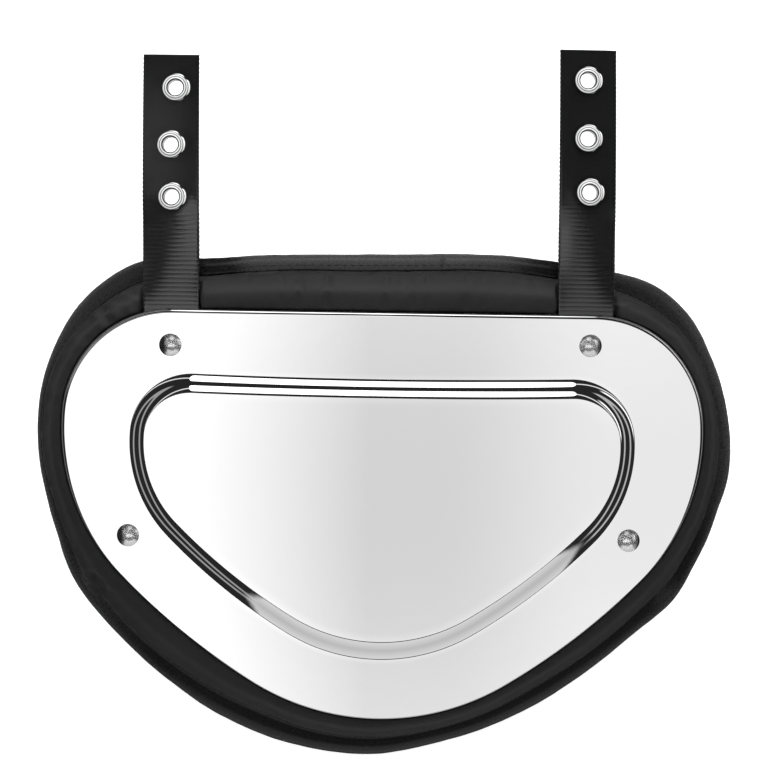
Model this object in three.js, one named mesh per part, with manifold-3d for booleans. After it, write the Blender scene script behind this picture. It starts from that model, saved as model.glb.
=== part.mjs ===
// Football back plate: a chromed shell with a raised centre panel, riveted over two webbing straps
// and a bound foam pad. Millimetres, +Z up. It lies on its pad as it would on a table, the shell
// facing up and the straps pointing along +Y. The origin is at the bottom centre of the whole part.
//
// Every piece is drawn on a flat pattern: u across, v up from the shell's top edge towards the
// straps, w out of the shell from its back face. The pattern is then bent round the wearer's back.
import * as THREE from 'three';
import { mergeVertices } from 'three/addons/utils/BufferGeometryUtils.js';
import Module from 'manifold-3d';

const wasm = await Module();
wasm.setup();

// Fits
const GAP = 0.3; // between pieces that meet
const BACK_RADIUS = 900; // curve across the wearer's back
const SETTLE = 0.8; // how far the soft edge flattens where it bears on the table

// Shell
const PLATE_THICKNESS = 3;
const PLATE_TOP_HALF = 95; // straight top edge, each side of the middle
const PANEL_TOP_HALF = 84.7; // the same of the raised panel
const PANEL_DROP = 30; // from the shell's top edge to the panel's
const PANEL_BOW = 1; // how far the ends of the panel's top edge rise above its middle
const TOP_STEPS = 5;
const TOE_STEPS = 5;
// Arcs of the shell's edge and of the panel's foot, from the straight top edge down to the toe.
// The toe's arc isn't listed: it turns the rest of the half circle and closes on the centre line.
const OUTLINE_ARCS = [
  { part: 'shoulder', turn: 86, plateRadius: 50.7, panelRadius: 28.5, steps: 9 },
  { part: 'side', turn: 49, plateRadius: 93.3, panelRadius: 60.7, steps: 5 },
  { part: 'flank', turn: 14, plateRadius: 320, panelRadius: 281, steps: 4 },
];
// Rounded edge of the shell: how far in from the edge, and how far from the nearer face.
const EDGE_ROUND = [
  { inset: 0, below: 1.5 },
  { inset: 0.35, below: 0.4 },
  { inset: 1.2, below: 0 },
];
// Lower half of the step up to the panel, from its foot. The upper half is the same turned round.
const STEP_ARCS = [
  { part: 'fillet', radius: 1.2, turn: 20, steps: 1 },
  { part: 'wall', radius: 11.6, turn: 21, steps: 2 },
];
const STEP_SPREAD = 0.07; // share by which it is wider at the top and toe, and narrower at the sides
const PANEL_SHARES = [0.62, 0.28]; // rings that carry the panel's face in to its middle
const BORDER_SHARE = 0.5; // ring that carries the border from the shell's edge to the panel's foot

// Pad and binding
const PAD_DETAIL = 1.25; // stations of the soft edge for each one of the shell
const SEAM_W = -10; // height of the sewn edge
const BACK_W = -12.2; // the pad's back
const PAD_SHARES = [0.34, 0.68]; // rings that carry the pad's faces in to the middle
const PAD_INSET = 4; // where the pad's flat faces begin, in from the shell's edge
const BACK_INSET = 2.5; // where its back begins to round up, in from the seam
const FOLD_SHARE = 0.55; // where the front folds over into the side wall, of the way to the seam
const HEM_HALF = 0.7; // half the thickness of the sewn hem inside the binding
const HEM_INSET = 0.4; // where the hem begins, in from the seam
const TAPE = 1.2; // the binding's wall
const TAPE_HALF = HEM_HALF + GAP + TAPE; // half the thickness over the folded tape
const TAPE_ROUND = { inset: 1.4, nose: 0.2, noseHalf: 1.1 }; // its rounded outer edge
// The pad's front beyond the shell: of the way out to the fold, then of the way down the side wall,
// how high, and how much of the folds' push it takes.
const PAD_FRONT = [
  { ring: 'swell', toFold: 0.45, downWall: 0, height: 0.4, folds: 0 },
  { ring: 'brow', toFold: 0.8, downWall: 0, height: 0.1, folds: 0 },
  { ring: 'shoulder', toFold: 1, downWall: 0.18, height: -1.7, folds: 0 },
  { ring: 'wall', toFold: 1, downWall: 0.6, height: -5.4, folds: 1 },
];
// Sections of the soft edge, from the top middle (0) to the toe (1) down each side: how far the seam
// and the outer edge of the binding lie beyond the shell.
const PAD_SECTIONS = [
  { along: 0.0, seamLeft: 18.4, edgeLeft: 25.8, seamRight: 18.4, edgeRight: 25.8 },
  { along: 0.15, seamLeft: 17.3, edgeLeft: 24.3, seamRight: 18.5, edgeRight: 25.7 },
  { along: 0.22, seamLeft: 14.6, edgeLeft: 22.9, seamRight: 14.7, edgeRight: 22.6 },
  { along: 0.27, seamLeft: 13.7, edgeLeft: 23.9, seamRight: 11.6, edgeRight: 20.0 },
  { along: 0.3, seamLeft: 12.3, edgeLeft: 22.3, seamRight: 10.3, edgeRight: 20.4 },
  { along: 0.34, seamLeft: 10.5, edgeLeft: 18.7, seamRight: 9.0, edgeRight: 18.0 },
  { along: 0.38, seamLeft: 10.0, edgeLeft: 15.6, seamRight: 7.9, edgeRight: 14.9 },
  { along: 0.42, seamLeft: 10.2, edgeLeft: 14.7, seamRight: 7.1, edgeRight: 14.2 },
  { along: 0.46, seamLeft: 10.8, edgeLeft: 14.8, seamRight: 8.7, edgeRight: 15.8 },
  { along: 0.5, seamLeft: 10.8, edgeLeft: 14.7, seamRight: 9.0, edgeRight: 17.3 },
  { along: 0.54, seamLeft: 10.4, edgeLeft: 15.0, seamRight: 9.7, edgeRight: 17.4 },
  { along: 0.58, seamLeft: 11.7, edgeLeft: 18.0, seamRight: 9.6, edgeRight: 17.7 },
  { along: 0.62, seamLeft: 14.0, edgeLeft: 21.0, seamRight: 10.2, edgeRight: 18.4 },
  { along: 0.65, seamLeft: 14.5, edgeLeft: 22.6, seamRight: 10.0, edgeRight: 18.8 },
  { along: 0.7, seamLeft: 15.8, edgeLeft: 23.4, seamRight: 10.2, edgeRight: 17.3 },
  { along: 0.76, seamLeft: 15.3, edgeLeft: 23.7, seamRight: 9.6, edgeRight: 17.0 },
  { along: 0.82, seamLeft: 13.3, edgeLeft: 23.2, seamRight: 8.2, edgeRight: 16.2 },
  { along: 0.88, seamLeft: 10.4, edgeLeft: 21.1, seamRight: 7.7, edgeRight: 14.6 },
  { along: 0.94, seamLeft: 10.0, edgeLeft: 19.2, seamRight: 7.7, edgeRight: 14.3 },
  { along: 1.0, seamLeft: 9.0, edgeLeft: 17.6, seamRight: 9.0, edgeRight: 17.6 },
];
// Dents and folds of the soft edge: where they lie, how far along the edge they reach, and how far
// they push the side wall and the binding outwards. The seam takes half of the binding's push.
const SEAM_SHARE = 0.5;
const FOLDS = [
  { fold: 'lower left dent', side: -1, along: 0.625, reach: 8, wall: -2.5, tape: 0 },
  { fold: 'left crease', side: -1, along: 0.57, reach: 6, wall: 1.2, tape: -0.6 },
  { fold: 'top left pucker', side: -1, along: 0.31, reach: 7, wall: -1.2, tape: -0.5 },
  { fold: 'lower right bulge', side: 1, along: 0.63, reach: 9, wall: 1.4, tape: 1.2 },
  { fold: 'right waist', side: 1, along: 0.535, reach: 8, wall: -1, tape: -0.8 },
];

// Straps: u of the middle at the shell's edge and at the tip, v of the tip. Their eyelets, from the
// tip down: v, and how far each sits off the strap's middle.
const STRAP_WIDTH = 25.9; // over the selvedges of one-inch webbing
const STRAP_THICKNESS = 2;
const STRAP_ROOT = -28; // v of the hidden end
const STRAP_DROOP = 7; // how far the tip hangs below the shell's plane
const STRAP_STEP = 9;
const STRAP_BED = 10; // height of the bed cut for it through the pad's front
const STRAPS = [
  { name: 'left', edgeU: -96.3, tipU: -99, tip: 114.5 },
  { name: 'right', edgeU: 91.3, tipU: 91.3, tip: 119.4 },
];
const EYELETS = [
  { strap: 'left', v: 99.3, shift: 2.3 },
  { strap: 'left', v: 73.6, shift: 0.1 },
  { strap: 'left', v: 50.2, shift: 0.6 },
  { strap: 'right', v: 105.3, shift: -0.4 },
  { strap: 'right', v: 79.2, shift: -0.3 },
  { strap: 'right', v: 54.9, shift: 0.7 },
];

// Eyelet: a barrel with a flat flange behind the webbing and a rolled rim in front.
const EYELET_SIDES = 16;
const EYELET_HOLE = 3.6;
const EYELET_BARREL = 4.3;
const EYELET_RIM = 6.3;
const EYELET_FLANGE = 6.6;
const EYELET_SHEET = 0.7;
const EYELET_ROLL = { inset: 0.4, rise: 0.5, lip: 0.2 };

// Rivets: dome head on the shell, shank through the pad, plain tail let into the pad's back.
const RIVET_SIDES = 16;
const RIVET_HEAD = 5.1;
const RIVET_DOME = 2.7;
const RIVET_SHANK = 2.1;
const RIVET_TAIL = 4.5;
const RIVET_TAIL_THICKNESS = 1;
const RIVET_TAIL_DEPTH = 0.4; // below the pad's back face
// The dome from its foot to near its top: share of the head's radius and of the dome's height.
const DOME_SECTION = [
  { across: 0.94, up: 0.3 },
  { across: 0.75, up: 0.68 },
  { across: 0.4, up: 0.92 },
];
const RIVETS = [
  { name: 'top_left', u: -95.7, v: -16.3 },
  { name: 'top_right', u: 92.8, v: -13.8 },
  { name: 'low_left', u: -113.9, v: -102.6 },
  { name: 'low_right', u: 111.7, v: -101.5 },
];

// How it lies
const WEIGHT_V = -75; // v of the middle of its weight
const STEEPEST_REST = 15; // degrees
const REST_HALVINGS = 40;
const TABLE = { width: 600, depth: 20 };
const DRILL_OVERRUN = 5;

// Finishes
const CHROME = { color: 0xe6e7e8, roughness: 0.06, metalness: 1 };
const COVER = { color: 0x1b1b1d, roughness: 0.5, metalness: 0 };
const TAPE_CLOTH = { color: 0x161617, roughness: 0.8, metalness: 0 };
const WEBBING = { color: 0x121213, roughness: 0.75, metalness: 0 };
const NICKEL = { color: 0xd0d1d2, roughness: 0.18, metalness: 1 };
const SATIN_STEEL = { color: 0xb9babc, roughness: 0.32, metalness: 1 };

const radians = THREE.MathUtils.degToRad;
const mix = THREE.MathUtils.lerp;

// Point of the flat pattern, bent round the wearer's back.
function bend(u, v, w) {
  const angle = u / BACK_RADIUS;
  const reach = BACK_RADIUS + w;
  return new THREE.Vector3(reach * Math.sin(angle), v, reach * Math.cos(angle) - BACK_RADIUS);
}

// Outward direction of the bent pattern at u.
function outward(u) {
  return new THREE.Vector3(Math.sin(u / BACK_RADIUS), 0, Math.cos(u / BACK_RADIUS));
}

// Right half of an outline, from the top middle to the toe: places, outward normals and the share
// of the way along.
function halfOutline({ topHalf, drop, bow, radiusName }, detail) {
  const half = [];
  const topSteps = Math.ceil(TOP_STEPS * detail);
  for (let i = 0; i <= topSteps; i++) {
    const share = i / topSteps;
    const facing = -Math.atan((2 * bow * share) / topHalf);
    half.push({ u: topHalf * share, v: bow * share * share - drop, facing });
  }
  const sweep = (radius, to, steps) => {
    const { u, v, facing } = half[half.length - 1];
    for (let i = 1; i <= steps; i++) {
      const angle = mix(facing, to, i / steps);
      half.push({
        u: u + radius * (Math.sin(angle) - Math.sin(facing)),
        v: v + radius * (Math.cos(angle) - Math.cos(facing)),
        facing: angle,
      });
    }
  };
  let turned = 0;
  for (const arc of OUTLINE_ARCS) {
    turned += arc.turn;
    sweep(arc[radiusName], radians(turned), Math.ceil(arc.steps * detail));
  }
  const last = half[half.length - 1];
  sweep(last.u / Math.sin(last.facing), Math.PI, Math.ceil(TOE_STEPS * detail));
  let length = 0;
  half.forEach((p, i) => {
    const before = half[Math.max(i - 1, 0)];
    length += Math.hypot(p.u - before.u, p.v - before.v);
    p.length = length;
  });
  return half.map((p) => ({ ...p, along: p.length / length, halfLength: length }));
}

// Stations right round an outline, clockwise from the top middle, both halves alike.
function stationsOf(outline, detail) {
  const half = halfOutline(outline, detail);
  const station = (p, side) => ({
    ...p,
    u: p.u * side,
    side,
    normal: [Math.sin(p.facing) * side, Math.cos(p.facing)],
  });
  const right = half.slice(0, -1).map((p) => station(p, 1));
  const left = half.slice(1).map((p) => station(p, -1));
  return [...right, ...left.reverse()];
}

// Flat loop that lies beyond the stations by a distance, the same or worked out for each.
function loopBeyond(stations, distance) {
  return stations.map((s) => {
    const d = typeof distance === 'function' ? distance(s) : distance;
    return [s.u + s.normal[0] * d, s.v + s.normal[1] * d];
  });
}

function loopBetween(a, b, share) {
  return a.map((p, i) => [mix(p[0], b[i][0], share), mix(p[1], b[i][1], share)]);
}

function shrunkLoop(loop, centre, share) {
  return loop.map(([u, v]) => [u * share, mix(centre, v, share)]);
}

function bentLoop(loop, w) {
  return loop.map(([u, v]) => bend(u, v, w));
}

// Closed body through rings with as many points each. Ends are points, or the rings close in a loop.
function loft(rings, ends) {
  const count = rings[0].length;
  const points = rings.flat();
  const faces = [];
  const quads = ends ? rings.length - 1 : rings.length;
  for (let r = 0; r < quads; r++) {
    const here = r * count;
    const there = ((r + 1) % rings.length) * count;
    for (let i = 0; i < count; i++) {
      const j = (i + 1) % count;
      faces.push([here + i, here + j, there + j], [here + i, there + j, there + i]);
    }
  }
  if (ends) {
    const [first, last] = [points.length, points.length + 1];
    points.push(...ends);
    const top = (rings.length - 1) * count;
    for (let i = 0; i < count; i++) {
      const j = (i + 1) % count;
      faces.push([first, j, i], [last, top + i, top + j]);
    }
  }
  return bodyOf(points, faces);
}

// Geometry of a closed body, with its faces turned outwards.
function bodyOf(points, faces) {
  let volume = 0;
  for (const [a, b, c] of faces) {
    volume += points[a].dot(new THREE.Vector3().crossVectors(points[b], points[c]));
  }
  const turned = volume < 0 ? faces.map(([a, b, c]) => [a, c, b]) : faces;
  const geometry = new THREE.BufferGeometry().setFromPoints(points);
  geometry.setIndex(turned.flat());
  return geometry;
}

function solidOf(geometry) {
  const bare = geometry.clone();
  bare.deleteAttribute('normal');
  bare.deleteAttribute('uv');
  const merged = mergeVertices(bare, 1e-4);
  const vertProperties = merged.getAttribute('position').array;
  const triVerts = new Uint32Array(merged.index.array);
  return new wasm.Manifold(new wasm.Mesh({ numProp: 3, vertProperties, triVerts }));
}

function geometryOf(solid) {
  const mesh = solid.getMesh();
  const geometry = new THREE.BufferGeometry();
  geometry.setAttribute('position', new THREE.BufferAttribute(mesh.vertProperties, 3));
  geometry.setIndex(new THREE.BufferAttribute(mesh.triVerts, 1));
  return geometry;
}

function cut(geometry, cutters) {
  const solid = cutters.reduce((rest, cutter) => rest.subtract(solidOf(cutter)), solidOf(geometry));
  return geometryOf(solid);
}

// Turned body from a section of radius and height, moved from the Y axis to a place and direction.
function turnedBody(section, sides, place, direction) {
  const lathe = new THREE.LatheGeometry(
    section.map(([radius, height]) => new THREE.Vector2(radius, height)),
    sides,
  );
  const turn = new THREE.Quaternion().setFromUnitVectors(new THREE.Vector3(0, 1, 0), direction);
  return lathe.applyMatrix4(new THREE.Matrix4().compose(place, turn, new THREE.Vector3(1, 1, 1)));
}

function drill(radius, low, high, sides, place, direction) {
  return turnedBody([[0, low], [radius, low], [radius, high], [0, high]], sides, place, direction);
}

// Run and rise of the panel's step, from its foot to its brow.
function stepSection() {
  const half = [[0, 0]];
  let tilt = 0;
  for (const { radius, turn, steps } of STEP_ARCS) {
    const [run, rise] = half[half.length - 1];
    for (let i = 1; i <= steps; i++) {
      const angle = tilt + radians((turn * i) / steps);
      const across = radius * (Math.sin(angle) - Math.sin(tilt));
      half.push([run + across, rise + radius * (Math.cos(tilt) - Math.cos(angle))]);
    }
    tilt += radians(turn);
  }
  const [midRun, midRise] = half[half.length - 1];
  const upper = half.slice(0, -1).reverse();
  return [...half, ...upper.map(([run, rise]) => [2 * midRun - run, 2 * midRise - rise])];
}

const plateOutline = { topHalf: PLATE_TOP_HALF, drop: 0, bow: 0, radiusName: 'plateRadius' };
const panelOutline = {
  topHalf: PANEL_TOP_HALF,
  drop: PANEL_DROP,
  bow: PANEL_BOW,
  radiusName: 'panelRadius',
};
const plateStations = stationsOf(plateOutline, 1);
const panelStations = stationsOf(panelOutline, 1);
const padStations = stationsOf(plateOutline, PAD_DETAIL);
const plateToe = Math.min(...plateStations.map((s) => s.v));
const middleV = plateToe / 2;

function rivetSeat(rivet, w) {
  return bend(rivet.u, rivet.v, w);
}

function rivetHoles() {
  const reach = PLATE_THICKNESS - BACK_W + DRILL_OVERRUN;
  return RIVETS.map((rivet) =>
    drill(RIVET_SHANK + GAP, -reach, reach, RIVET_SIDES, rivetSeat(rivet, 0), outward(rivet.u)),
  );
}

function makePlate() {
  const step = stepSection();
  const [run, rise] = step[step.length - 1];
  const rim = loopBeyond(plateStations, -EDGE_ROUND[EDGE_ROUND.length - 1].inset);
  const stepIn = (across) => (s) => -across * (1 + STEP_SPREAD * (2 * s.normal[1] ** 2 - 1));
  const foot = loopBeyond(panelStations, 0);
  const brow = loopBeyond(panelStations, stepIn(run));
  const face = (height, fromFace) => [
    ...EDGE_ROUND.map(({ inset, below }) =>
      bentLoop(loopBeyond(plateStations, -inset), height + below * fromFace),
    ),
    bentLoop(loopBetween(rim, foot, BORDER_SHARE), height),
    ...step.map(([across, up]) => bentLoop(loopBeyond(panelStations, stepIn(across)), height + up)),
    ...PANEL_SHARES.map((share) => bentLoop(shrunkLoop(brow, middleV, share), height + rise)),
  ];
  const front = face(PLATE_THICKNESS, -1);
  const back = face(0, 1).slice(1); // the outermost ring is shared
  const rings = [...back.reverse(), ...front];
  const centres = [bend(0, middleV, rise), bend(0, middleV, PLATE_THICKNESS + rise)];
  return cut(loft(rings, centres), rivetHoles());
}

const padSection = new THREE.CubicInterpolant(
  PAD_SECTIONS.map((row) => row.along),
  PAD_SECTIONS.flatMap((row) => [row.seamLeft, row.edgeLeft, row.seamRight, row.edgeRight]),
  4,
);

// How far the folds push the wall or the tape at a station.
function foldPush(station, what) {
  return FOLDS.filter((fold) => fold.side === station.side).reduce((push, fold) => {
    const away = ((station.along - fold.along) * station.halfLength) / fold.reach;
    return push + fold[what] * Math.exp(-away * away);
  }, 0);
}

function seamOf(station) {
  const [seamLeft, , seamRight] = padSection.evaluate(station.along);
  return (station.side < 0 ? seamLeft : seamRight) + SEAM_SHARE * foldPush(station, 'tape');
}

function edgeOf(station) {
  const [, edgeLeft, , edgeRight] = padSection.evaluate(station.along);
  return (station.side < 0 ? edgeLeft : edgeRight) + foldPush(station, 'tape');
}

function makePad() {
  const fold = (s) => FOLD_SHARE * seamOf(s);
  const hemStart = (s) => seamOf(s) - HEM_INSET;
  const hemEdge = (s) => edgeOf(s) - TAPE - 2 * GAP - HEM_HALF;
  const ring = (distance, w) => bentLoop(loopBeyond(padStations, distance), w);
  const flat = loopBeyond(padStations, -PAD_INSET);
  const inner = (w) => PAD_SHARES.map((share) => bentLoop(shrunkLoop(flat, middleV, share), w));
  const front = PAD_FRONT.map(({ toFold, downWall, height, folds }) =>
    ring((s) => mix(toFold * fold(s), seamOf(s), downWall) + folds * foldPush(s, 'wall'), height),
  );
  const rings = [
    ...inner(-GAP),
    ring(-PAD_INSET, -GAP),
    ring(GAP, -GAP),
    ...front,
    ring(hemStart, SEAM_W + HEM_HALF),
    ring(hemEdge, SEAM_W + HEM_HALF),
    ring(hemEdge, SEAM_W - HEM_HALF),
    ring(hemStart, SEAM_W - HEM_HALF),
    ring((s) => seamOf(s) - BACK_INSET, BACK_W),
    ring(-PAD_INSET, BACK_W),
    ...inner(BACK_W).reverse(),
  ];
  const blank = loft(rings, [bend(0, middleV, -GAP), bend(0, middleV, BACK_W)]);
  const tailLow = BACK_W - DRILL_OVERRUN;
  const tailHigh = BACK_W + RIVET_TAIL_DEPTH + RIVET_TAIL_THICKNESS + GAP;
  const tailSeats = RIVETS.map((rivet) => {
    const seat = rivetSeat(rivet, 0);
    return drill(RIVET_TAIL + GAP, tailLow, tailHigh, RIVET_SIDES, seat, outward(rivet.u));
  });
  const room = { side: GAP, below: GAP, above: STRAP_BED, root: GAP };
  const strapBeds = STRAPS.map((strap) => strapBody(strap, room));
  return cut(blank, [...strapBeds, ...rivetHoles(), ...tailSeats, tableBelow()]);
}

// Folded tape: its closed section from the inner lip over the round edge and back inside.
function makeBinding() {
  const slot = HEM_HALF + GAP;
  const round = (s) => edgeOf(s) - TAPE_ROUND.inset;
  const nose = (s) => edgeOf(s) - TAPE_ROUND.nose;
  const fold = (s) => edgeOf(s) - TAPE - HEM_HALF;
  const section = [
    [seamOf, TAPE_HALF],
    [round, TAPE_HALF],
    [nose, TAPE_ROUND.noseHalf],
    [nose, -TAPE_ROUND.noseHalf],
    [round, -TAPE_HALF],
    [seamOf, -TAPE_HALF],
    [seamOf, -slot],
    [fold, -slot],
    [fold, slot],
    [seamOf, slot],
  ];
  const rings = section.map(([distance, height]) =>
    bentLoop(loopBeyond(padStations, distance), SEAM_W + height),
  );
  return loft(rings);
}

// Middle of a strap at v: across, and out from the shell's back.
function strapMiddle(strap, v) {
  const free = Math.max(v, 0) / strap.tip;
  const lean = mix(strap.edgeU, strap.tipU, v / strap.tip);
  return [lean, -GAP - STRAP_THICKNESS / 2 - STRAP_DROOP * free * free];
}

function strapBody(strap, grow) {
  const root = STRAP_ROOT - grow.root;
  const length = strap.tip - root;
  const steps = Math.ceil(length / STRAP_STEP);
  const rings = [];
  for (let i = 0; i <= steps; i++) {
    const v = root + (length * i) / steps;
    const [u, w] = strapMiddle(strap, v);
    const reach = STRAP_WIDTH / 2 + grow.side;
    const high = w + STRAP_THICKNESS / 2 + grow.above;
    const low = w - STRAP_THICKNESS / 2 - grow.below;
    rings.push([
      bend(u - reach, v, high),
      bend(u + reach, v, high),
      bend(u + reach, v, low),
      bend(u - reach, v, low),
    ]);
  }
  const endOf = (ring) => ring[0].clone().lerp(ring[2], 0.5);
  return loft(rings, [endOf(rings[0]), endOf(rings[steps])]);
}

// Places of a strap's eyelets, each with the direction that the webbing faces there.
function eyeletSeats(strap) {
  return EYELETS.filter((eyelet) => eyelet.strap === strap.name).map(({ v, shift }) => {
    const [u, w] = strapMiddle(strap, v);
    const place = bend(u + shift, v, w);
    const [nextU, nextW] = strapMiddle(strap, v + 1);
    const ahead = bend(nextU + shift, v + 1, nextW).sub(place);
    const across = new THREE.Vector3(0, 1, 0).cross(outward(u));
    return { place, direction: across.cross(ahead).normalize() };
  });
}

function makeStrap(strap) {
  const blank = strapBody(strap, { side: 0, below: 0, above: 0, root: 0 });
  const holes = eyeletSeats(strap).map(({ place, direction }) =>
    drill(EYELET_BARREL + GAP, -DRILL_OVERRUN, DRILL_OVERRUN, EYELET_SIDES, place, direction),
  );
  return cut(blank, [...holes, ...rivetHoles()]);
}

function makeEyelet({ place, direction }) {
  const seat = STRAP_THICKNESS / 2 + GAP;
  const top = seat + EYELET_SHEET;
  const section = [
    [EYELET_HOLE, -top],
    [EYELET_FLANGE, -top],
    [EYELET_FLANGE, -seat],
    [EYELET_BARREL, -seat],
    [EYELET_BARREL, seat],
    [EYELET_RIM, seat],
    [EYELET_RIM - EYELET_ROLL.inset, top],
    [EYELET_BARREL + EYELET_ROLL.inset, top + EYELET_ROLL.rise],
    [EYELET_HOLE + EYELET_ROLL.lip, top],
    [EYELET_HOLE, -top],
  ];
  return turnedBody(section, EYELET_SIDES, place, direction);
}

function makeRivet(rivet) {
  const tailTop = BACK_W + RIVET_TAIL_DEPTH + RIVET_TAIL_THICKNESS - PLATE_THICKNESS;
  const section = [
    [0, tailTop - RIVET_TAIL_THICKNESS],
    [RIVET_TAIL, tailTop - RIVET_TAIL_THICKNESS],
    [RIVET_TAIL, tailTop],
    [RIVET_SHANK, tailTop],
    [RIVET_SHANK, GAP],
    [RIVET_HEAD, GAP],
    ...DOME_SECTION.map(({ across, up }) => [across * RIVET_HEAD, GAP + up * RIVET_DOME]),
    [0, GAP + RIVET_DOME],
  ];
  return turnedBody(section, RIVET_SIDES, rivetSeat(rivet, PLATE_THICKNESS), outward(rivet.u));
}

// How the part lies: on the two sides of its binding, tipped towards the toe until they bear under
// the middle of its weight, and rolled until both touch.
function restOn(points) {
  const left = points.filter((p) => p.x < 0);
  const right = points.filter((p) => p.x > 0);
  const heightOf = (p, tilt) => p.y * Math.sin(tilt) + p.z * Math.cos(tilt);
  const lowest = (some, tilt) => some.reduce((a, b) => (heightOf(a, tilt) < heightOf(b, tilt) ? a : b));
  let level = 0;
  let steep = radians(STEEPEST_REST);
  for (let i = 0; i < REST_HALVINGS; i++) {
    const tilt = (level + steep) / 2;
    if (lowest(left, tilt).y + lowest(right, tilt).y > 2 * WEIGHT_V) {
      level = tilt;
    } else {
      steep = tilt;
    }
  }
  const [a, b] = [lowest(left, level), lowest(right, level)];
  const roll = Math.atan2(heightOf(b, level) - heightOf(a, level), b.x - a.x);
  const turn = new THREE.Matrix4().makeRotationY(roll);
  turn.multiply(new THREE.Matrix4().makeRotationX(level));
  const low = Math.min(...points.map((p) => p.clone().applyMatrix4(turn).z));
  return turn.setPosition(0, 0, -low - SETTLE);
}

const bindingBlank = makeBinding();
const bindingPlaces = bindingBlank.getAttribute('position');
const bindingPoints = Array.from({ length: bindingPlaces.count }, (_, i) =>
  new THREE.Vector3().fromBufferAttribute(bindingPlaces, i),
);
const lie = restOn(bindingPoints);

// The table as a cutter, seen from the part.
function tableBelow() {
  const table = new THREE.BoxGeometry(TABLE.width, TABLE.width, TABLE.depth);
  table.translate(0, 0, -TABLE.depth / 2);
  return table.applyMatrix4(lie.clone().invert());
}

const part = new THREE.Group();
part.matrixAutoUpdate = false;
part.matrix.copy(lie);

function addPiece(name, geometry, finish) {
  geometry.computeVertexNormals();
  const mesh = new THREE.Mesh(geometry, new THREE.MeshStandardMaterial(finish));
  mesh.name = name;
  part.add(mesh);
}

addPiece('plate', makePlate(), CHROME);
addPiece('pad', makePad(), COVER);
addPiece('binding', cut(bindingBlank, [tableBelow()]), TAPE_CLOTH);
for (const strap of STRAPS) {
  addPiece(`strap_${strap.name}`, makeStrap(strap), WEBBING);
  eyeletSeats(strap).forEach((seat, i) => {
    addPiece(`eyelet_${strap.name}_${i + 1}`, makeEyelet(seat), NICKEL);
  });
}
for (const rivet of RIVETS) {
  addPiece(`rivet_${rivet.name}`, makeRivet(rivet), SATIN_STEEL);
}

// The origin goes to the bottom centre of the whole part.
const backPlate = new THREE.Group();
backPlate.name = 'back_plate';
backPlate.add(part);
backPlate.updateMatrixWorld(true);
const middle = new THREE.Box3().setFromObject(backPlate, true).getCenter(new THREE.Vector3());
backPlate.position.set(-middle.x, -middle.y, 0);

export default backPlate;
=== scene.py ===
import math

import bmesh
import bpy
import numpy as np
from mathutils import Matrix, Vector


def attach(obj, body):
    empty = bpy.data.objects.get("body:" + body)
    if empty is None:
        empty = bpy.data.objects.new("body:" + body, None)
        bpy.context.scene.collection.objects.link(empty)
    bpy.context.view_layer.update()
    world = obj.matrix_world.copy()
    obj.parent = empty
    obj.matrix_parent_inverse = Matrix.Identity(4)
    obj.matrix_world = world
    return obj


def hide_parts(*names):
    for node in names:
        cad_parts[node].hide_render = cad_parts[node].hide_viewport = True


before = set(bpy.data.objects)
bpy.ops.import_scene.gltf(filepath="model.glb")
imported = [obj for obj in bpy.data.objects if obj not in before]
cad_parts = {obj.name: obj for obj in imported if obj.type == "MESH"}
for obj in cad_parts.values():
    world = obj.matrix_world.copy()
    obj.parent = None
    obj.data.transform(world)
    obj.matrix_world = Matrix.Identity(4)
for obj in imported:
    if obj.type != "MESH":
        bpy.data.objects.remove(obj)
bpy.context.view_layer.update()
scene = bpy.context.scene

# ---- Pad cover ----------------------------------------------------------------------------------
# A foam slab in a black coated cloth, cut larger than the shell all round. The cloth lies flat
# beside the shell, folds over the foam's edge and is drawn down into the sewn hem.

MM = 0.001
GAP = 0.3  # of air between pieces
BACK_RADIUS = 900.0  # of the wearer's back
# How the part lies on the table: tipped towards its toe, rolled a little, and moved there.
LIE_TILT, LIE_ROLL = math.radians(2.33905), math.radians(-0.08268)
LIE_AT = (-0.7164, 40.3061, 28.1042)


def lay(u, v, w):
    """Flat pattern in mm (across, up from the shell's top edge, out of its back) to the table in m."""
    angle = u / BACK_RADIUS
    x, z = (BACK_RADIUS + w) * np.sin(angle), (BACK_RADIUS + w) * np.cos(angle) - BACK_RADIUS
    y, z = (
        v * math.cos(LIE_TILT) - z * math.sin(LIE_TILT),
        v * math.sin(LIE_TILT) + z * math.cos(LIE_TILT),
    )
    x, z = (
        x * math.cos(LIE_ROLL) + z * math.sin(LIE_ROLL),
        z * math.cos(LIE_ROLL) - x * math.sin(LIE_ROLL),
    )
    return MM * np.stack([x + LIE_AT[0], y + LIE_AT[1], z + LIE_AT[2]], axis=-1)


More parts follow.
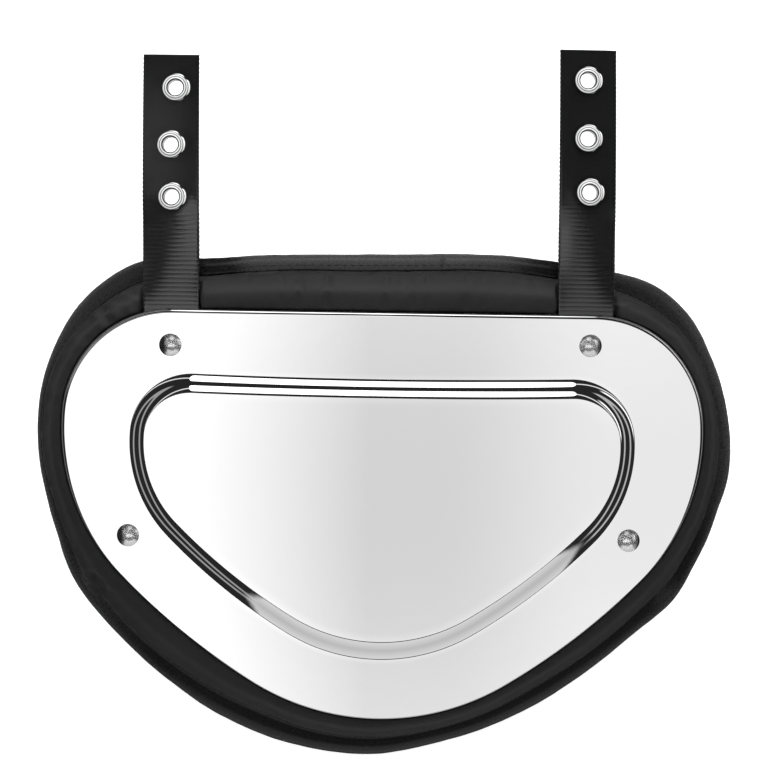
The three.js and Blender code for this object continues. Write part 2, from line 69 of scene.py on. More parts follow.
class Outline:
    """Stations round an edge, clockwise from the top middle: top edge, arcs, and a round toe."""

    def __init__(self, top_half, drop, arcs, steps, bow=0.0):
        u = np.linspace(0, top_half, steps[0] + 1)
        v = bow * (u / top_half) ** 2 - drop
        facing = -np.arctan(2 * bow * u / top_half**2)
        for arc, count in zip([*arcs, None], steps[1:]):
            start = facing[-1]
            stop, radius = arc or (180, u[-1] / math.sin(start))
            angle = np.linspace(start, math.radians(stop), count + 1)[1:]
            across, up = u[-1], v[-1]
            u = np.append(u, across + radius * (np.sin(angle) - math.sin(start)))
            v = np.append(v, up + radius * (np.cos(angle) - math.cos(start)))
            facing = np.append(facing, angle)
        length = np.append(0, np.cumsum(np.hypot(np.diff(u), np.diff(v))))
        self.half = length[-1]

        def round_trip(right, left):
            return np.concatenate([right[:-1], left[:0:-1]])

        self.u, self.v = round_trip(u, -u), round_trip(v, v)
        self.nu, self.nv = round_trip(np.sin(facing), -np.sin(facing)), round_trip(*[np.cos(facing)] * 2)
        self.side = round_trip(np.ones_like(u), -np.ones_like(u))
        self.along = round_trip(length, length) / self.half
        self.trip = round_trip(length, 2 * self.half - length)

    def beyond(self, distance):
        return self.u + self.nu * distance, self.v + self.nv * distance

    def ring(self, distance, w):
        return lay(*self.beyond(distance), w)


SHELL_TOP_HALF = 95.0
SHELL_ARCS = ((86, 50.7), (135, 93.3), (149, 320.0))  # facing at the end in degrees, and radius
edge = Outline(SHELL_TOP_HALF, 0.0, SHELL_ARCS, (150, 72, 70, 66, 50))
MIDDLE_V = edge.v.min() / 2


def smooth_table(x, xs, ys):
    """Cubic through a table's rows, each row's slope taken from its neighbours."""
    slopes = np.gradient(ys, xs)
    i = np.clip(np.searchsorted(xs, x) - 1, 0, len(xs) - 2)
    h = xs[i + 1] - xs[i]
    t = (x - xs[i]) / h
    value = (2 * t**3 - 3 * t**2 + 1) * ys[i] + (3 * t**2 - 2 * t**3) * ys[i + 1]
    return value + h * ((t**3 - 2 * t**2 + t) * slopes[i] + (t**3 - t**2) * slopes[i + 1])


# Sections of the soft edge, from the top middle (0) to the toe (1) down each side: how far the
# seam and the outer edge of the binding lie beyond the shell.
SECTIONS = np.array([
    # along, seam left, edge left, seam right, edge right
    (0.00, 18.4, 25.9, 18.4, 25.9),
    (0.15, 17.3, 24.5, 18.5, 25.9),
    (0.22, 14.6, 22.7, 14.7, 22.8),
    (0.27, 13.7, 23.4, 11.6, 20.2),
    (0.30, 12.3, 22.0, 10.3, 20.3),
    (0.34, 10.5, 19.0, 9.0, 18.4),
    (0.38, 10.0, 16.1, 7.9, 15.4),
    (0.42, 10.2, 15.0, 7.1, 14.9),
    (0.46, 10.8, 15.1, 8.7, 16.5),
    (0.50, 10.8, 15.3, 9.0, 17.8),
    (0.54, 10.4, 15.9, 9.7, 17.7),
    (0.58, 11.7, 18.6, 9.6, 17.9),
    (0.62, 14.0, 21.7, 10.2, 18.9),
    (0.65, 14.5, 23.0, 10.0, 19.6),
    (0.70, 15.8, 23.9, 10.2, 18.6),
    (0.76, 15.3, 24.3, 9.6, 18.2),
    (0.82, 13.3, 23.8, 8.2, 17.4),
    (0.88, 10.4, 21.3, 7.7, 15.8),
    (0.94, 10.0, 19.4, 7.7, 15.5),
    (1.00, 9.0, 18.0, 9.0, 18.0),
])
# Dents and folds of the soft edge: side, where along it, how many mm they reach, how far they push
# the side wall and the binding outwards, and how far the wall sinks there.
FOLDS = (
    (-1, 0.634, 6.0, -1.0, 0.0, 1.3),
    (-1, 0.570, 6.0, 0.4, -0.6, -0.2),
    (-1, 0.310, 7.0, -0.6, -0.5, 0.0),
    (1, 0.630, 9.0, 0.6, 1.2, -0.3),
    (1, 0.535, 8.0, -0.5, -0.8, 0.4),
)
FOLD_SHARE = 0.55  # where the front folds over into the side wall, of the way to the seam
SEAM_W, BACK_W = -10.0, -12.2
HEM_HALF, HEM_INSET, HEM_EDGE_INSET, BACK_INSET = 0.7, 0.4, 2.5, 2.5


def section(left, right):
    by_side = [smooth_table(edge.along, SECTIONS[:, 0], SECTIONS[:, i]) for i in (left, right)]
    return np.where(edge.side < 0, *by_side)


def near(side, along, reach):
    """Bell round one place of the soft edge."""
    away = (edge.along - along) * edge.half / reach
    return np.where(edge.side == side, np.exp(-away * away), 0.0)


def waver(seed, pitch):
    """Smooth random wave right round the edge, about -1 to 1, with bumps about pitch mm long."""
    rng = np.random.default_rng(seed)
    turns = 2 * edge.half / (2 * pitch)
    counts = np.unique(np.round(turns * np.linspace(0.45, 1.35, 12)))
    phases = rng.uniform(0, 2 * np.pi, len(counts))
    waves = np.cos(np.pi * np.outer(counts, edge.trip) / edge.half + phases[:, None])
    return waves.sum(axis=0) * math.sqrt(2 / len(counts)) / 1.6


wall_push, tape_push, wall_sink = (
    sum(dent[i] * near(*dent[:3]) for dent in FOLDS) for i in (3, 4, 5)
)
seam = section(1, 3) + 0.5 * tape_push
rim = section(2, 4) + tape_push
fold = FOLD_SHARE * seam

# The cover beside the shell: of the way out to the fold, and how high.
COVER_FRONT = (
    (0.04, 1.15), (0.12, 1.28), (0.24, 1.30), (0.38, 1.24), (0.53, 1.08), (0.68, 0.80), (0.82, 0.42),
    (0.93, 0.02),
)
# Its side wall: of the way out from the fold to the seam, and how far it has tucked into the seam.
COVER_WALL = (
    (0.06, 0.0), (0.16, 0.0), (0.26, 0.0), (0.36, 0.0), (0.46, 0.0), (0.56, 0.0), (0.66, 0.0), (0.76, 0.02),
    (0.85, 0.07), (0.91, 0.18), (0.95, 0.40), (0.97, 0.70), (0.98, 1.0),
)
FOLD_W, TUCK_W = -0.3, -8.4
WALL_SLOPE, WALL_CURVE = 0.36, 0.20
# Where the cloth puckers most: side, along, reach, how deep on the side wall and beside the shell.
PUCKERS = (
    (-1, 0.300, 20.0, 0.7, 0.75),
    (1, 0.290, 18.0, 0.25, 0.15),
    (-1, 0.630, 22.0, 0.5, 0.2),
    (1, 0.610, 20.0, 0.25, 0.1),
    (-1, 0.430, 26.0, 0.25, 0.15),
)
# Short sharp creases across the cover: side, along, half width and height.
CREASES = (
    (-1, 0.578, 1.2, 0.3), (-1, 0.705, 1.4, 0.2), (-1, 0.290, 1.4, 0.3), (-1, 0.318, 1.4, 0.35),
    (1, 0.305, 1.4, 0.2),
)
wall_pucker, front_pucker = (
    (0.05 + sum(one[i] * near(*one[:3]) for one in PUCKERS)) * waver(3, 4.2) for i in (3, 4)
)
crease = sum(height * near(side, at, reach) for side, at, reach, height in CREASES)
slack = 0.18 * waver(8, 26.0)

STRAP_HALF, STRAP_HALF_THICK = 12.95, 1.0
STRAP_ROOT, STRAP_DROOP = -28.0, 7.0
STRAPS = {
    # u of the middle at the shell's edge and at the tip, v of the tip
    "left": (-96.3, -99.0, 114.5),
    "right": (91.3, 91.3, 119.4),
}
BED_SHOULDER, BED_ROOM = 1.8, 0.2  # how far beside the strap the foam is pressed down
FOAM_MIDDLE = 34.0  # inside the shell's edge, from where the rings shrink to the middle


def smoothstep(low, high, x):
    t = np.clip((x - low) / (high - low), 0, 1)
    return t * t * (3 - 2 * t)


def strap_middle(name, v):
    """Across and out of the pattern, of a strap's middle at v."""
    edge_u, tip_u, tip = STRAPS[name]
    free = np.maximum(v, 0) / tip
    return edge_u + (tip_u - edge_u) * v / tip, -GAP - STRAP_HALF_THICK - STRAP_DROOP * free**2


def pressed(u, v, w):
    """The cover's height where the straps press it down."""
    for name in STRAPS:
        middle, height = strap_middle(name, v)
        floor = height - STRAP_HALF_THICK - GAP
        beside = np.maximum(np.abs(u - middle) - STRAP_HALF - BED_ROOM, 0) / BED_SHOULDER
        behind = np.maximum(STRAP_ROOT - BED_ROOM - v, 0) / BED_SHOULDER
        share = smoothstep(0, 1, 1 - np.hypot(beside, behind))
        w = np.where(w > floor, w + (floor - w) * share, w)
    return w


def pad_ring(distance, w):
    """Ring of the pad so far beyond the shell's edge."""
    u, v = edge.beyond(distance)
    return lay(u, v, pressed(u, v, w))


def pad_inner(share, w):
    """Ring of the pad under the shell, shrunk towards the middle."""
    u, v = edge.beyond(-FOAM_MIDDLE)
    u, v = u * share, MIDDLE_V + (v - MIDDLE_V) * share
    return lay(u, v, pressed(u, v, w))


def loft(rings, middles=None, uvs=None):
    """Mesh through rings of as many points each, closed by two middles or, without them, in a loop."""
    rings = np.array(rings)
    rows, count = rings.shape[:2]
    index = np.arange(rows * count).reshape(rows, count)
    here, there = (index, np.roll(index, -1, axis=0)) if middles is None else (index[:-1], index[1:])
    corners = [here, np.roll(here, -1, axis=1), np.roll(there, -1, axis=1), there]
    faces = np.stack(corners, axis=-1).reshape(-1, 4).tolist()
    points = rings.reshape(-1, 3)
    if middles is not None:
        first, last = len(points), len(points) + 1
        points = np.vstack([points, middles])
        turn = np.roll(index, -1, axis=1)
        faces += [[first, j, i] for i, j in zip(index[0].tolist(), turn[0].tolist())]
        faces += [[last, i, j] for i, j in zip(index[-1].tolist(), turn[-1].tolist())]
    mesh = bpy.data.meshes.new("loft")
    mesh.from_pydata(points.tolist(), [], faces)
    if uvs is not None:
        layer = mesh.uv_layers.new(name="cloth")
        layer.data.foreach_set("uv", np.asarray(uvs, dtype=np.float32).ravel())
    shell = bmesh.new()
    shell.from_mesh(mesh)
    if shell.calc_volume(signed=True) < 0:
        bmesh.ops.reverse_faces(shell, faces=shell.faces[:])
    shell.to_mesh(mesh)
    shell.free()
    mesh.shade_smooth()
    return mesh


def piece(name, mesh, material=None):
    """A finished piece at the origin, on the one body that there is."""
    mesh.name = name
    if material is not None:
        mesh.materials.clear()
        mesh.materials.append(material)
    obj = bpy.data.objects.new(name, mesh)
    scene.collection.objects.link(obj)
    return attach(obj, "root")


class Wire:
    """A socket of a node tree. Sums on wires add Math nodes."""

    def __init__(self, socket):
        self.socket = socket
        self.tree = socket.id_data

    @staticmethod
    def node(tree, kind, settings=None, inputs=None, out=0):
        made = tree.nodes.new(kind)
        for key, value in (settings or {}).items():
            setattr(made, key, value)
        for key, value in (inputs or {}).items():
            if isinstance(value, Wire):
                tree.links.new(value.socket, made.inputs[key])
            else:
                made.inputs[key].default_value = value
        return Wire(made.outputs[out])

    def math(self, operation, *terms):
        return Wire.node(self.tree, "ShaderNodeMath", {"operation": operation}, dict(enumerate(terms)))

    def __add__(self, other):
        return self.math("ADD", self, other)

    def __sub__(self, other):
        return self.math("SUBTRACT", self, other)

    def __rsub__(self, other):
        return self.math("SUBTRACT", other, self)

    def __mul__(self, other):
        return self.math("MULTIPLY", self, other)

    def __truediv__(self, other):
        return self.math("DIVIDE", self, other)

    def __rtruediv__(self, other):
        return self.math("DIVIDE", other, self)

    __radd__, __rmul__ = __add__, __mul__


def blank_material(name):
    material = bpy.data.materials.new(name)
    material.use_nodes = True
    material.node_tree.nodes.clear()
    return material, material.node_tree


def principled(tree, inputs):
    """Ends a material in its one shader."""
    shader = Wire.node(tree, "ShaderNodeBsdfPrincipled", inputs=inputs)
    output = tree.nodes.new("ShaderNodeOutputMaterial")
    tree.links.new(shader.socket, output.inputs["Surface"])


def noise(tree, vector, scale, detail=3.0):
    inputs = {"Vector": vector, "Scale": scale, "Detail": detail, "Roughness": 0.55}
    return Wire.node(tree, "ShaderNodeTexNoise", inputs=inputs, out="Fac")


def blend_colour(tree, share, first, second):
    inputs = {0: share, 6: first, 7: second}
    return Wire.node(tree, "ShaderNodeMix", {"data_type": "RGBA"}, inputs, out=2)


def bumped(tree, height, distance, strength=1.0):
    inputs = {"Height": height, "Distance": distance, "Strength": strength}
    return Wire.node(tree, "ShaderNodeBump", inputs=inputs, out="Normal")


def grey(value):
    return (value, value, value, 1.0)


def mark(mesh, label, values):
    """Writes a value on each point of a mesh, for its material or its tree."""
    layer = mesh.attributes.new(label, "FLOAT", "POINT")
    layer.data.foreach_set("value", np.asarray(values, dtype=np.float32).ravel())


def marked(tree, label):
    return Wire.node(tree, "ShaderNodeAttribute", {"attribute_name": label}, out="Fac")


COVER_DARK, COVER_WORN = grey(0.0072), grey(0.0185)
COVER_WEAVE = 0.00042  # m between threads

cover_cloth, tree = blank_material("coated_cloth")
place = Wire.node(tree, "ShaderNodeTexCoord", out="Object")
parts = Wire.node(tree, "ShaderNodeSeparateXYZ", inputs={0: place})
across, up = parts, Wire(parts.socket.node.outputs[1])
warp = across.math("SINE", across * (2 * math.pi / COVER_WEAVE))
weft = up.math("SINE", up * (2 * math.pi / COVER_WEAVE))
blotch = noise(tree, place, 38.0)
fleck = noise(tree, place, 900.0, 2.0)
worn = marked(tree, "worn")
rubbed = blotch * 0.45 + fleck * 0.25 + worn * 0.45 - 0.12
principled(tree, {
    "Base Color": blend_colour(tree, rubbed, COVER_DARK, COVER_WORN),
    "Roughness": 0.34 + 0.12 * blotch,
    "Normal": bumped(tree, warp * weft * 0.5 + fleck * 0.6, 0.00004, 0.8),
    "Specular IOR Level": 0.32,
    "Sheen Weight": 0.04,
    "Sheen Roughness": 0.4,
})

pad_rows = [pad_inner(share, -GAP) for share in (0.3, 0.6, 0.85)]
pad_rows += [pad_ring(-inset, -GAP) for inset in (32.0, 29.0, 26.0, 22.0, 17.0, 12.0, 8.0, 4.0, 1.5)]
pad_rows += [pad_ring(GAP, -GAP + 0.05)]
pinned = [1.0] * len(pad_rows)
worn_rows = [0.0] * len(pad_rows)
for out, height in COVER_FRONT:
    bulge = math.sin(math.pi * out)
    lift = front_pucker * bulge + (slack + 0.4 * crease) * out
    pad_rows.append(pad_ring(out * fold, height + lift))
    worn_rows.append(math.exp(-(((out - 1) / 0.16) ** 2)))
for down, tuck in COVER_WALL:
    belly = math.sin(math.pi * min(1.0, down / 0.92))
    lift = slack * (1 - down) + (wall_pucker + crease - wall_sink) * belly + 0.4 * crease * (1 - down)
    height = FOLD_W - (seam - fold) * (WALL_SLOPE + WALL_CURVE * down) * down + lift
    away = fold + (seam - fold) * down + (wall_push + 0.4 * wall_pucker) * belly
    pad_rows.append(pad_ring(away, height + (TUCK_W - height) * tuck))
    worn_rows.append(math.exp(-((down / 0.3) ** 2)))
pinned += [0.0] * (len(pad_rows) - len(pinned))

# Between the straps the hem and its binding lean outwards. Elsewhere their outer edge droops.
LEAN_MIDDLE, LEAN_HALF, LEAN, DROOP = -4.0, 65.0, math.tan(math.radians(20)), 3.0
from_middle = edge.along * edge.half * edge.side
off_middle = (from_middle - LEAN_MIDDLE) / LEAN_HALF
between = np.exp(-(off_middle**12))


def hem_ring(distance, height):
    """Ring of the hem or its binding, by the height over the hem's middle."""
    out = np.clip((distance - seam) / (rim - seam), 0, 1)
    drop = LEAN * between * (rim - seam) * out + DROOP * (1 - between) * out * out
    return edge.ring(distance, SEAM_W + height - drop)


hem = [
    (seam - HEM_INSET, HEM_HALF),
    (rim - HEM_EDGE_INSET, HEM_HALF),
    (rim - HEM_EDGE_INSET, -HEM_HALF),
    (seam - HEM_INSET, -HEM_HALF),
    (seam - 1.0, -1.5),
    (seam - BACK_INSET, BACK_W - SEAM_W),
    (np.full_like(seam, 2.0), BACK_W - SEAM_W),
]
pad_rows += [hem_ring(distance, height) for distance, height in hem]
pad_rows += [pad_ring(-inset, BACK_W) for inset in (4.0, 14.0, 26.0)]
pad_rows += [pad_inner(share, BACK_W) for share in (0.85, 0.6, 0.3)]
after = len(pad_rows) - len(pinned)
pinned += [1.0] * after
worn_rows += [0.0] * after

pad_mesh = loft(pad_rows, [lay(0.0, MIDDLE_V, w) for w in (-GAP, BACK_W)])
stations = len(edge.u)
mark(pad_mesh, "worn", np.append(np.repeat(worn_rows, stations), [0.0, 0.0]))
pad = piece("pad_cover", pad_mesh, cover_cloth)


def points_of(mesh):
    points = np.empty(3 * len(mesh.vertices), dtype=np.float32)
    mesh.vertices.foreach_get("co", points)
    return points.reshape(-1, 3).astype(float)


SWELL_FRAMES, SWELL_CAP = 16, 0.0004  # and the farthest that a point may move, in m


def swell(obj, held):
    """Lets the cover swell over its foam and wrinkle where it has cloth to spare, and keeps that."""
    start = points_of(obj.data)
    group = obj.vertex_groups.new(name="held")
    group.add(np.flatnonzero(held).tolist(), 1.0, "REPLACE")
    cloth = obj.modifiers.new("swell", "CLOTH")
    settings = cloth.settings
    settings.quality = 6
    settings.mass = 0.2
    settings.tension_stiffness = settings.compression_stiffness = 18
    settings.shear_stiffness = 6
    settings.bending_stiffness = 0.4
    settings.shrink_min = -0.008
    settings.use_pressure = True
    settings.uniform_pressure_force = 2.0
    settings.vertex_group_mass = "held"
    settings.effector_weights.gravity = 0
    cloth.collision_settings.use_collision = False
    cloth.point_cache.frame_end = SWELL_FRAMES
    for number in range(1, SWELL_FRAMES + 1):
        scene.frame_set(number)
    moved = points_of(obj.evaluated_get(bpy.context.evaluated_depsgraph_get()).data) - start
    obj.modifiers.remove(cloth)
    obj.vertex_groups.remove(group)
    scene.frame_set(1)
    length = np.linalg.norm(moved, axis=1, keepdims=True)
    moved *= np.minimum(1.0, SWELL_CAP / np.maximum(length, 1e-9))
    obj.data.vertices.foreach_set("co", (start + moved).astype(np.float32).ravel())
    obj.data.update()


swell(pad, np.append(np.repeat(pinned, stations), [1.0, 1.0]))
rested = points_of(pad_mesh)
rested[:, 2] = np.maximum(rested[:, 2], 0.0)
pad_mesh.vertices.foreach_set("co", rested.astype(np.float32).ravel())
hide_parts("pad")

# ---- Binding ------------------------------------------------------------------------------------
# Woven black tape folded over the hem all round and sewn through. It is soft: it rolls over the
# edge, crowns a little on top, and its cut end laps over its start at the top edge.

TAPE_SLOT, TAPE_WALL = 1.0, 1.2
TAPE_UNDER = 2.25  # how thick it is below the hem's middle at most
TAPE_FLAT, TAPE_EASE = (0.019, 0.9), 1.12  # flat size in m, and its run for each mm of the shell's edge
LAP_AT, LAP_LENGTH, LAP_THICK, LAP_GROOVE = 26.4, 17.0, 0.3, 0.5
# The tape's outside: share of the way from the seam to the round edge, height over the hem's middle,
# and how far its row of stitches draws it down.
TAPE_TOP = np.array([
    (0.0, 0.90, 0.0), (0.0, 1.35, 0.0), (0.03, 1.62, 0.0), (0.10, 1.76, 0.02), (0.18, 1.84, 0.08),
    (0.27, 1.90, 0.17), (0.36, 1.94, 0.19), (0.46, 1.97, 0.12), (0.56, 1.98, 0.04), (0.66, 1.96, 0.0),
    (0.75, 1.88, 0.0), (0.83, 1.68, 0.0), (0.89, 1.40, 0.0), (0.94, 1.02, 0.0), (0.975, 0.60, 0.0),
    (1.0, 0.0, 0.0),
])
# Where the tape's inner lip stands up or is pulled down: side, along, reach and height.
LIPS = ((-1, 0.305, 16.0, 1.0), (-1, 0.632, 7.0, -1.3), (1, 0.632, 6.0, 0.9), (1, 0.300, 14.0, 0.3))

past_lap = np.where(edge.side > 0, edge.trip - LAP_AT, -1.0)
lapped = np.clip(past_lap / 0.6, 0, 1) * np.clip((LAP_LENGTH - past_lap) / 6.0, 0, 1) * LAP_THICK
lapped -= LAP_GROOVE * np.where(edge.side > 0, np.exp(-((past_lap / 0.6) ** 2)), 0.0)
roll = 0.07 * waver(5, 16.0) + 0.04 * waver(6, 5.0)
crown = 1 + 0.05 * waver(9, 18.0)
lip = sum(height * near(side, at, reach) for side, at, reach, height in LIPS)
drawn = 1 - 0.95 * between - np.clip(lip, 0, 1)


def tape_height(share):
    """Height of the tape's outside over the hem's middle, share of the way out from the seam."""
    level, groove = (np.interp(share, TAPE_TOP[2:, 0], TAPE_TOP[2:, i]) for i in (1, 2))
    return level * crown - groove * drawn + lip * max(0.0, 1 - share / 0.5) + lapped * (1 - share**4)


outside = [(seam, np.full_like(seam, height)) for _, height, _ in TAPE_TOP[:2]]
outside += [(seam + (rim - seam) * share + roll * share**3, tape_height(share)) for share in TAPE_TOP[2:, 0]]
under = [(distance, -np.minimum(np.abs(height), TAPE_UNDER)) for distance, height in outside[-2::-1]]
inside = [
    (seam, np.full_like(seam, -TAPE_SLOT)),
    (rim - TAPE_WALL - HEM_HALF, np.full_like(seam, -TAPE_SLOT)),
    (rim - TAPE_WALL - HEM_HALF, np.full_like(seam, TAPE_SLOT)),
    (seam, np.full_like(seam, TAPE_SLOT)),
]
tape_section = outside + under + inside
tape_rows = np.array([hem_ring(distance, height) for distance, height in tape_section])
tape_rows[:, :, 2] = np.maximum(tape_rows[:, :, 2], 0.0)

tape_count = len(tape_rows)
gaps = np.linalg.norm(np.roll(tape_rows, -1, axis=0) - tape_rows, axis=2).mean(axis=1)
over = np.append(0, np.cumsum(gaps))
trip = np.append(edge.trip, 2 * edge.half) * MM * TAPE_EASE
corner_uvs = np.empty((tape_count, stations, 4, 2))
for corner, (i, r) in enumerate(((0, 0), (1, 0), (1, 1), (0, 1))):
    corner_uvs[:, :, corner, 0] = trip[None, i : stations + i]
    corner_uvs[:, :, corner, 1] = over[r : tape_count + r, None]

TAPE_RIB, TAPE_THREAD = 0.0011, 0.00055
# The tape's own dark greys, then the greys of its painted light and its painted sheen.
TAPE_DARK, TAPE_WORN, TAPE_PAINTED_LIGHT, TAPE_PAINTED_SHEEN = grey(0.003), grey(0.007), grey(0.018), grey(0.075)


def cloth_run(tree):
    """Distances along and across a cloth, in m."""
    flat = Wire.node(tree, "ShaderNodeUVMap", {"uv_map": "cloth"})
    along = Wire.node(tree, "ShaderNodeSeparateXYZ", inputs={0: flat})
    return along, Wire(along.socket.node.outputs[1])


tape_cloth, tree = blank_material("binding_tape")
place = Wire.node(tree, "ShaderNodeTexCoord", out="Object")
run, side = cloth_run(tree)
rib = run.math("SINE", run * (2 * math.pi / TAPE_RIB))
thread = side.math("SINE", side * (2 * math.pi / TAPE_THREAD))
blotch = noise(tree, place, 45.0)
fleck = noise(tree, place, 1200.0, 2.0)
# Painted light and painted shade on the tape, marked on its points.
tape_painted_light = marked(tree, "tape_painted_light")
tape_painted_shade = marked(tree, "tape_painted_shade")
# Painted sheen: the base colour lightens where the tape is seen at a grazing angle, less under the painted
# shade.
askew = Wire.node(tree, "ShaderNodeLayerWeight", inputs={"Blend": 0.5}, out="Facing")
colour = blend_colour(tree, blotch * 0.6 + fleck * 0.15, TAPE_DARK, TAPE_WORN)
colour = blend_colour(tree, tape_painted_light, colour, TAPE_PAINTED_LIGHT)
colour = blend_colour(tree, tape_painted_shade, colour, TAPE_DARK)
principled(tree, {
    "Base Color": blend_colour(tree, askew * askew * (0.9 - 0.8 * tape_painted_shade), colour, TAPE_PAINTED_SHEEN),
    "Roughness": 0.24 + 0.08 * fleck,
    "Normal": bumped(tree, rib * 0.3 + thread * 0.25 + fleck * 0.2, 0.000015, 0.9),
    "Specular IOR Level": 0.35,
})

# Its colour carries painted shade beside the straps, and painted light between them, at the shoulders,
# down the flanks and as a highlight at a kink. Where along the flanks the painted light grows, where it
# ends left and right, and the kink's side, place and reach.
PAINTED_SHADE_AT, PAINTED_SHADE_REACH = (-79.0, 78.0), 13.0
PAINTED_LIGHT_SHOULDER, PAINTED_LIGHT_FLANK, PAINTED_HIGHLIGHT_KINK = 0.25, 0.55, 0.55
FLANK_GROWS, FLANK_ENDS, FLANK_SOFT, KINK = (0.30, 0.38), (0.70, 0.54), 0.05, (1, 0.634, 5.0)
tape_painted_shade_share = sum(np.exp(-(((from_middle - at) / PAINTED_SHADE_REACH) ** 4)) for at in PAINTED_SHADE_AT)
tape_painted_light_share = PAINTED_LIGHT_SHOULDER + (PAINTED_LIGHT_FLANK - PAINTED_LIGHT_SHOULDER) * smoothstep(*FLANK_GROWS, edge.along)
tape_painted_light_share *= smoothstep(FLANK_SOFT, -FLANK_SOFT, edge.along - np.where(edge.side < 0, *FLANK_ENDS))
tape_painted_light_share = np.maximum(between, tape_painted_light_share) + PAINTED_HIGHLIGHT_KINK * near(*KINK)

tape_mesh = loft(tape_rows, uvs=corner_uvs)
mark(tape_mesh, "tape_painted_light", np.tile(tape_painted_light_share, tape_count))
mark(tape_mesh, "tape_painted_shade", np.tile(tape_painted_shade_share, tape_count))
binding = piece("edge_tape", tape_mesh, tape_cloth)
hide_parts("binding")

# ---- Binding stitches ---------------------------------------------------------------------------
# Black thread in a lockstitch through the tape, the hem and the tape again, close to its inner lip.
# The same row shows on the front and on the back.

STITCH_SHARE, STITCH_SUNK = 0.32, 0.06  # of the way out from the seam, and mm into the tape
STITCH_PITCH, STITCH_LENGTH, STITCH_THICK = 0.0036, 0.0027, 0.00042
STITCH_FLOOR = 0.0002  # m over the table at least


def empty_tree(name, sizes):
    """Geometry Nodes tree with a mesh in, a mesh out and named sizes. Gives the tree and its wires."""
    grown = bpy.data.node_groups.new(name, "GeometryNodeTree")
    grown.interface.new_socket("Mesh", in_out="INPUT", socket_type="NodeSocketGeometry")
    for size, kind in sizes.items():
        grown.interface.new_socket(size, in_out="INPUT", socket_type=kind)
    grown.interface.new_socket("Mesh", in_out="OUTPUT", socket_type="NodeSocketGeometry")
    given = grown.nodes.new("NodeGroupInput")
    return grown, {socket.name: Wire(socket) for socket in given.outputs if socket.name}


def close_tree(grown, geometry, material):
    """Ends a tree in real, finished geometry."""
    real = Wire.node(grown, "GeometryNodeRealizeInstances", inputs={0: geometry})
    made = Wire.node(grown, "GeometryNodeSetMaterial", inputs={"Geometry": real, "Material": material})
    grown.links.new(made.socket, grown.nodes.new("NodeGroupOutput").inputs[0])


def grow(mesh, grown, sizes):
    """Plain mesh that a tree makes of a mesh."""
    carrier = bpy.data.objects.new("carrier", mesh)
    scene.collection.objects.link(carrier)
    modifier = carrier.modifiers.new("grow", "NODES")
    modifier.node_group = grown
    for item in grown.interface.items_tree:
        if item.in_out == "INPUT" and item.name in sizes:
            modifier[item.identifier] = sizes[item.name]
    depsgraph = bpy.context.evaluated_depsgraph_get()
    made = bpy.data.meshes.new_from_object(carrier.evaluated_get(depsgraph), depsgraph=depsgraph)
    carrier.modifiers.clear()
    bpy.data.objects.remove(carrier)
    return made


thread_finish, tree = blank_material("sewing_thread")
place = Wire.node(tree, "ShaderNodeTexCoord", out="Object")
ply = noise(tree, place, 2600.0, 2.0)
principled(tree, {
    "Base Color": blend_colour(tree, ply, grey(0.004), grey(0.010)),
    "Roughness": 0.5 + 0.2 * ply,
    "Normal": bumped(tree, ply, 0.00005),
    "Specular IOR Level": 0.3,
})

stitched, wires = empty_tree("sewn_row", {
    "Pitch": "NodeSocketFloat", "Length": "NodeSocketFloat", "Thickness": "NodeSocketFloat",
})
path = Wire.node(stitched, "GeometryNodeMeshToCurve", inputs={0: wires["Mesh"]})
path = Wire.node(stitched, "GeometryNodeResampleCurve", {"mode": "LENGTH"}, {
    "Curve": path, "Length": wires["Pitch"],
})
bead = Wire.node(stitched, "GeometryNodeMeshUVSphere", inputs={"Segments": 6, "Rings": 6, "Radius": 0.5})
size = Wire.node(stitched, "ShaderNodeCombineXYZ", inputs={
    0: wires["Length"], 1: wires["Thickness"] * 1.25, 2: wires["Thickness"],
})
heading = Wire.node(stitched, "GeometryNodeInputTangent")
turn = Wire.node(stitched, "FunctionNodeAlignRotationToVector", {"axis": "X"}, {"Vector": heading})
beads = Wire.node(stitched, "GeometryNodeInstanceOnPoints", inputs={
    "Points": path, "Instance": bead, "Rotation": turn, "Scale": size,
})
smooth = Wire.node(stitched, "GeometryNodeSetShadeSmooth", inputs={0: Wire.node(
    stitched, "GeometryNodeRealizeInstances", inputs={0: beads})})
close_tree(stitched, smooth, thread_finish)

row_points, row_edges = [], []
for face in (1, -1):
    loop = hem_ring(seam + (rim - seam) * STITCH_SHARE, face * (tape_height(STITCH_SHARE) - STITCH_SUNK))
    loop[:, 2] = np.maximum(loop[:, 2], STITCH_FLOOR)
    start = len(row_points)
    row_points += loop.tolist()
    row_edges += [(start + i, start + (i + 1) % stations) for i in range(stations)]
row_mesh = bpy.data.meshes.new("sewn_path")
row_mesh.from_pydata(row_points, row_edges, [])
stitches = piece("edge_stitches", grow(row_mesh, stitched, {
    "Pitch": STITCH_PITCH, "Length": STITCH_LENGTH, "Thickness": STITCH_THICK,
}))

# ---- Straps -------------------------------------------------------------------------------------
# Two lengths of flat black webbing, woven in ribs across, held between the shell and the pad by
# the upper rivets. Each lies over the pad's edge, hangs a little to its tip, and is cut square.

RIB_PITCH, RIB_HEIGHT = 0.0020, 0.000017
ROW_STEP = 0.25
WEB_PICK, WEB_END = 0.0005, 0.0009  # m between threads along and across
WEB_PRESSED, SELVEDGE_WAVE = 0.88, 0.12  # share of the thickness between ribs, and mm
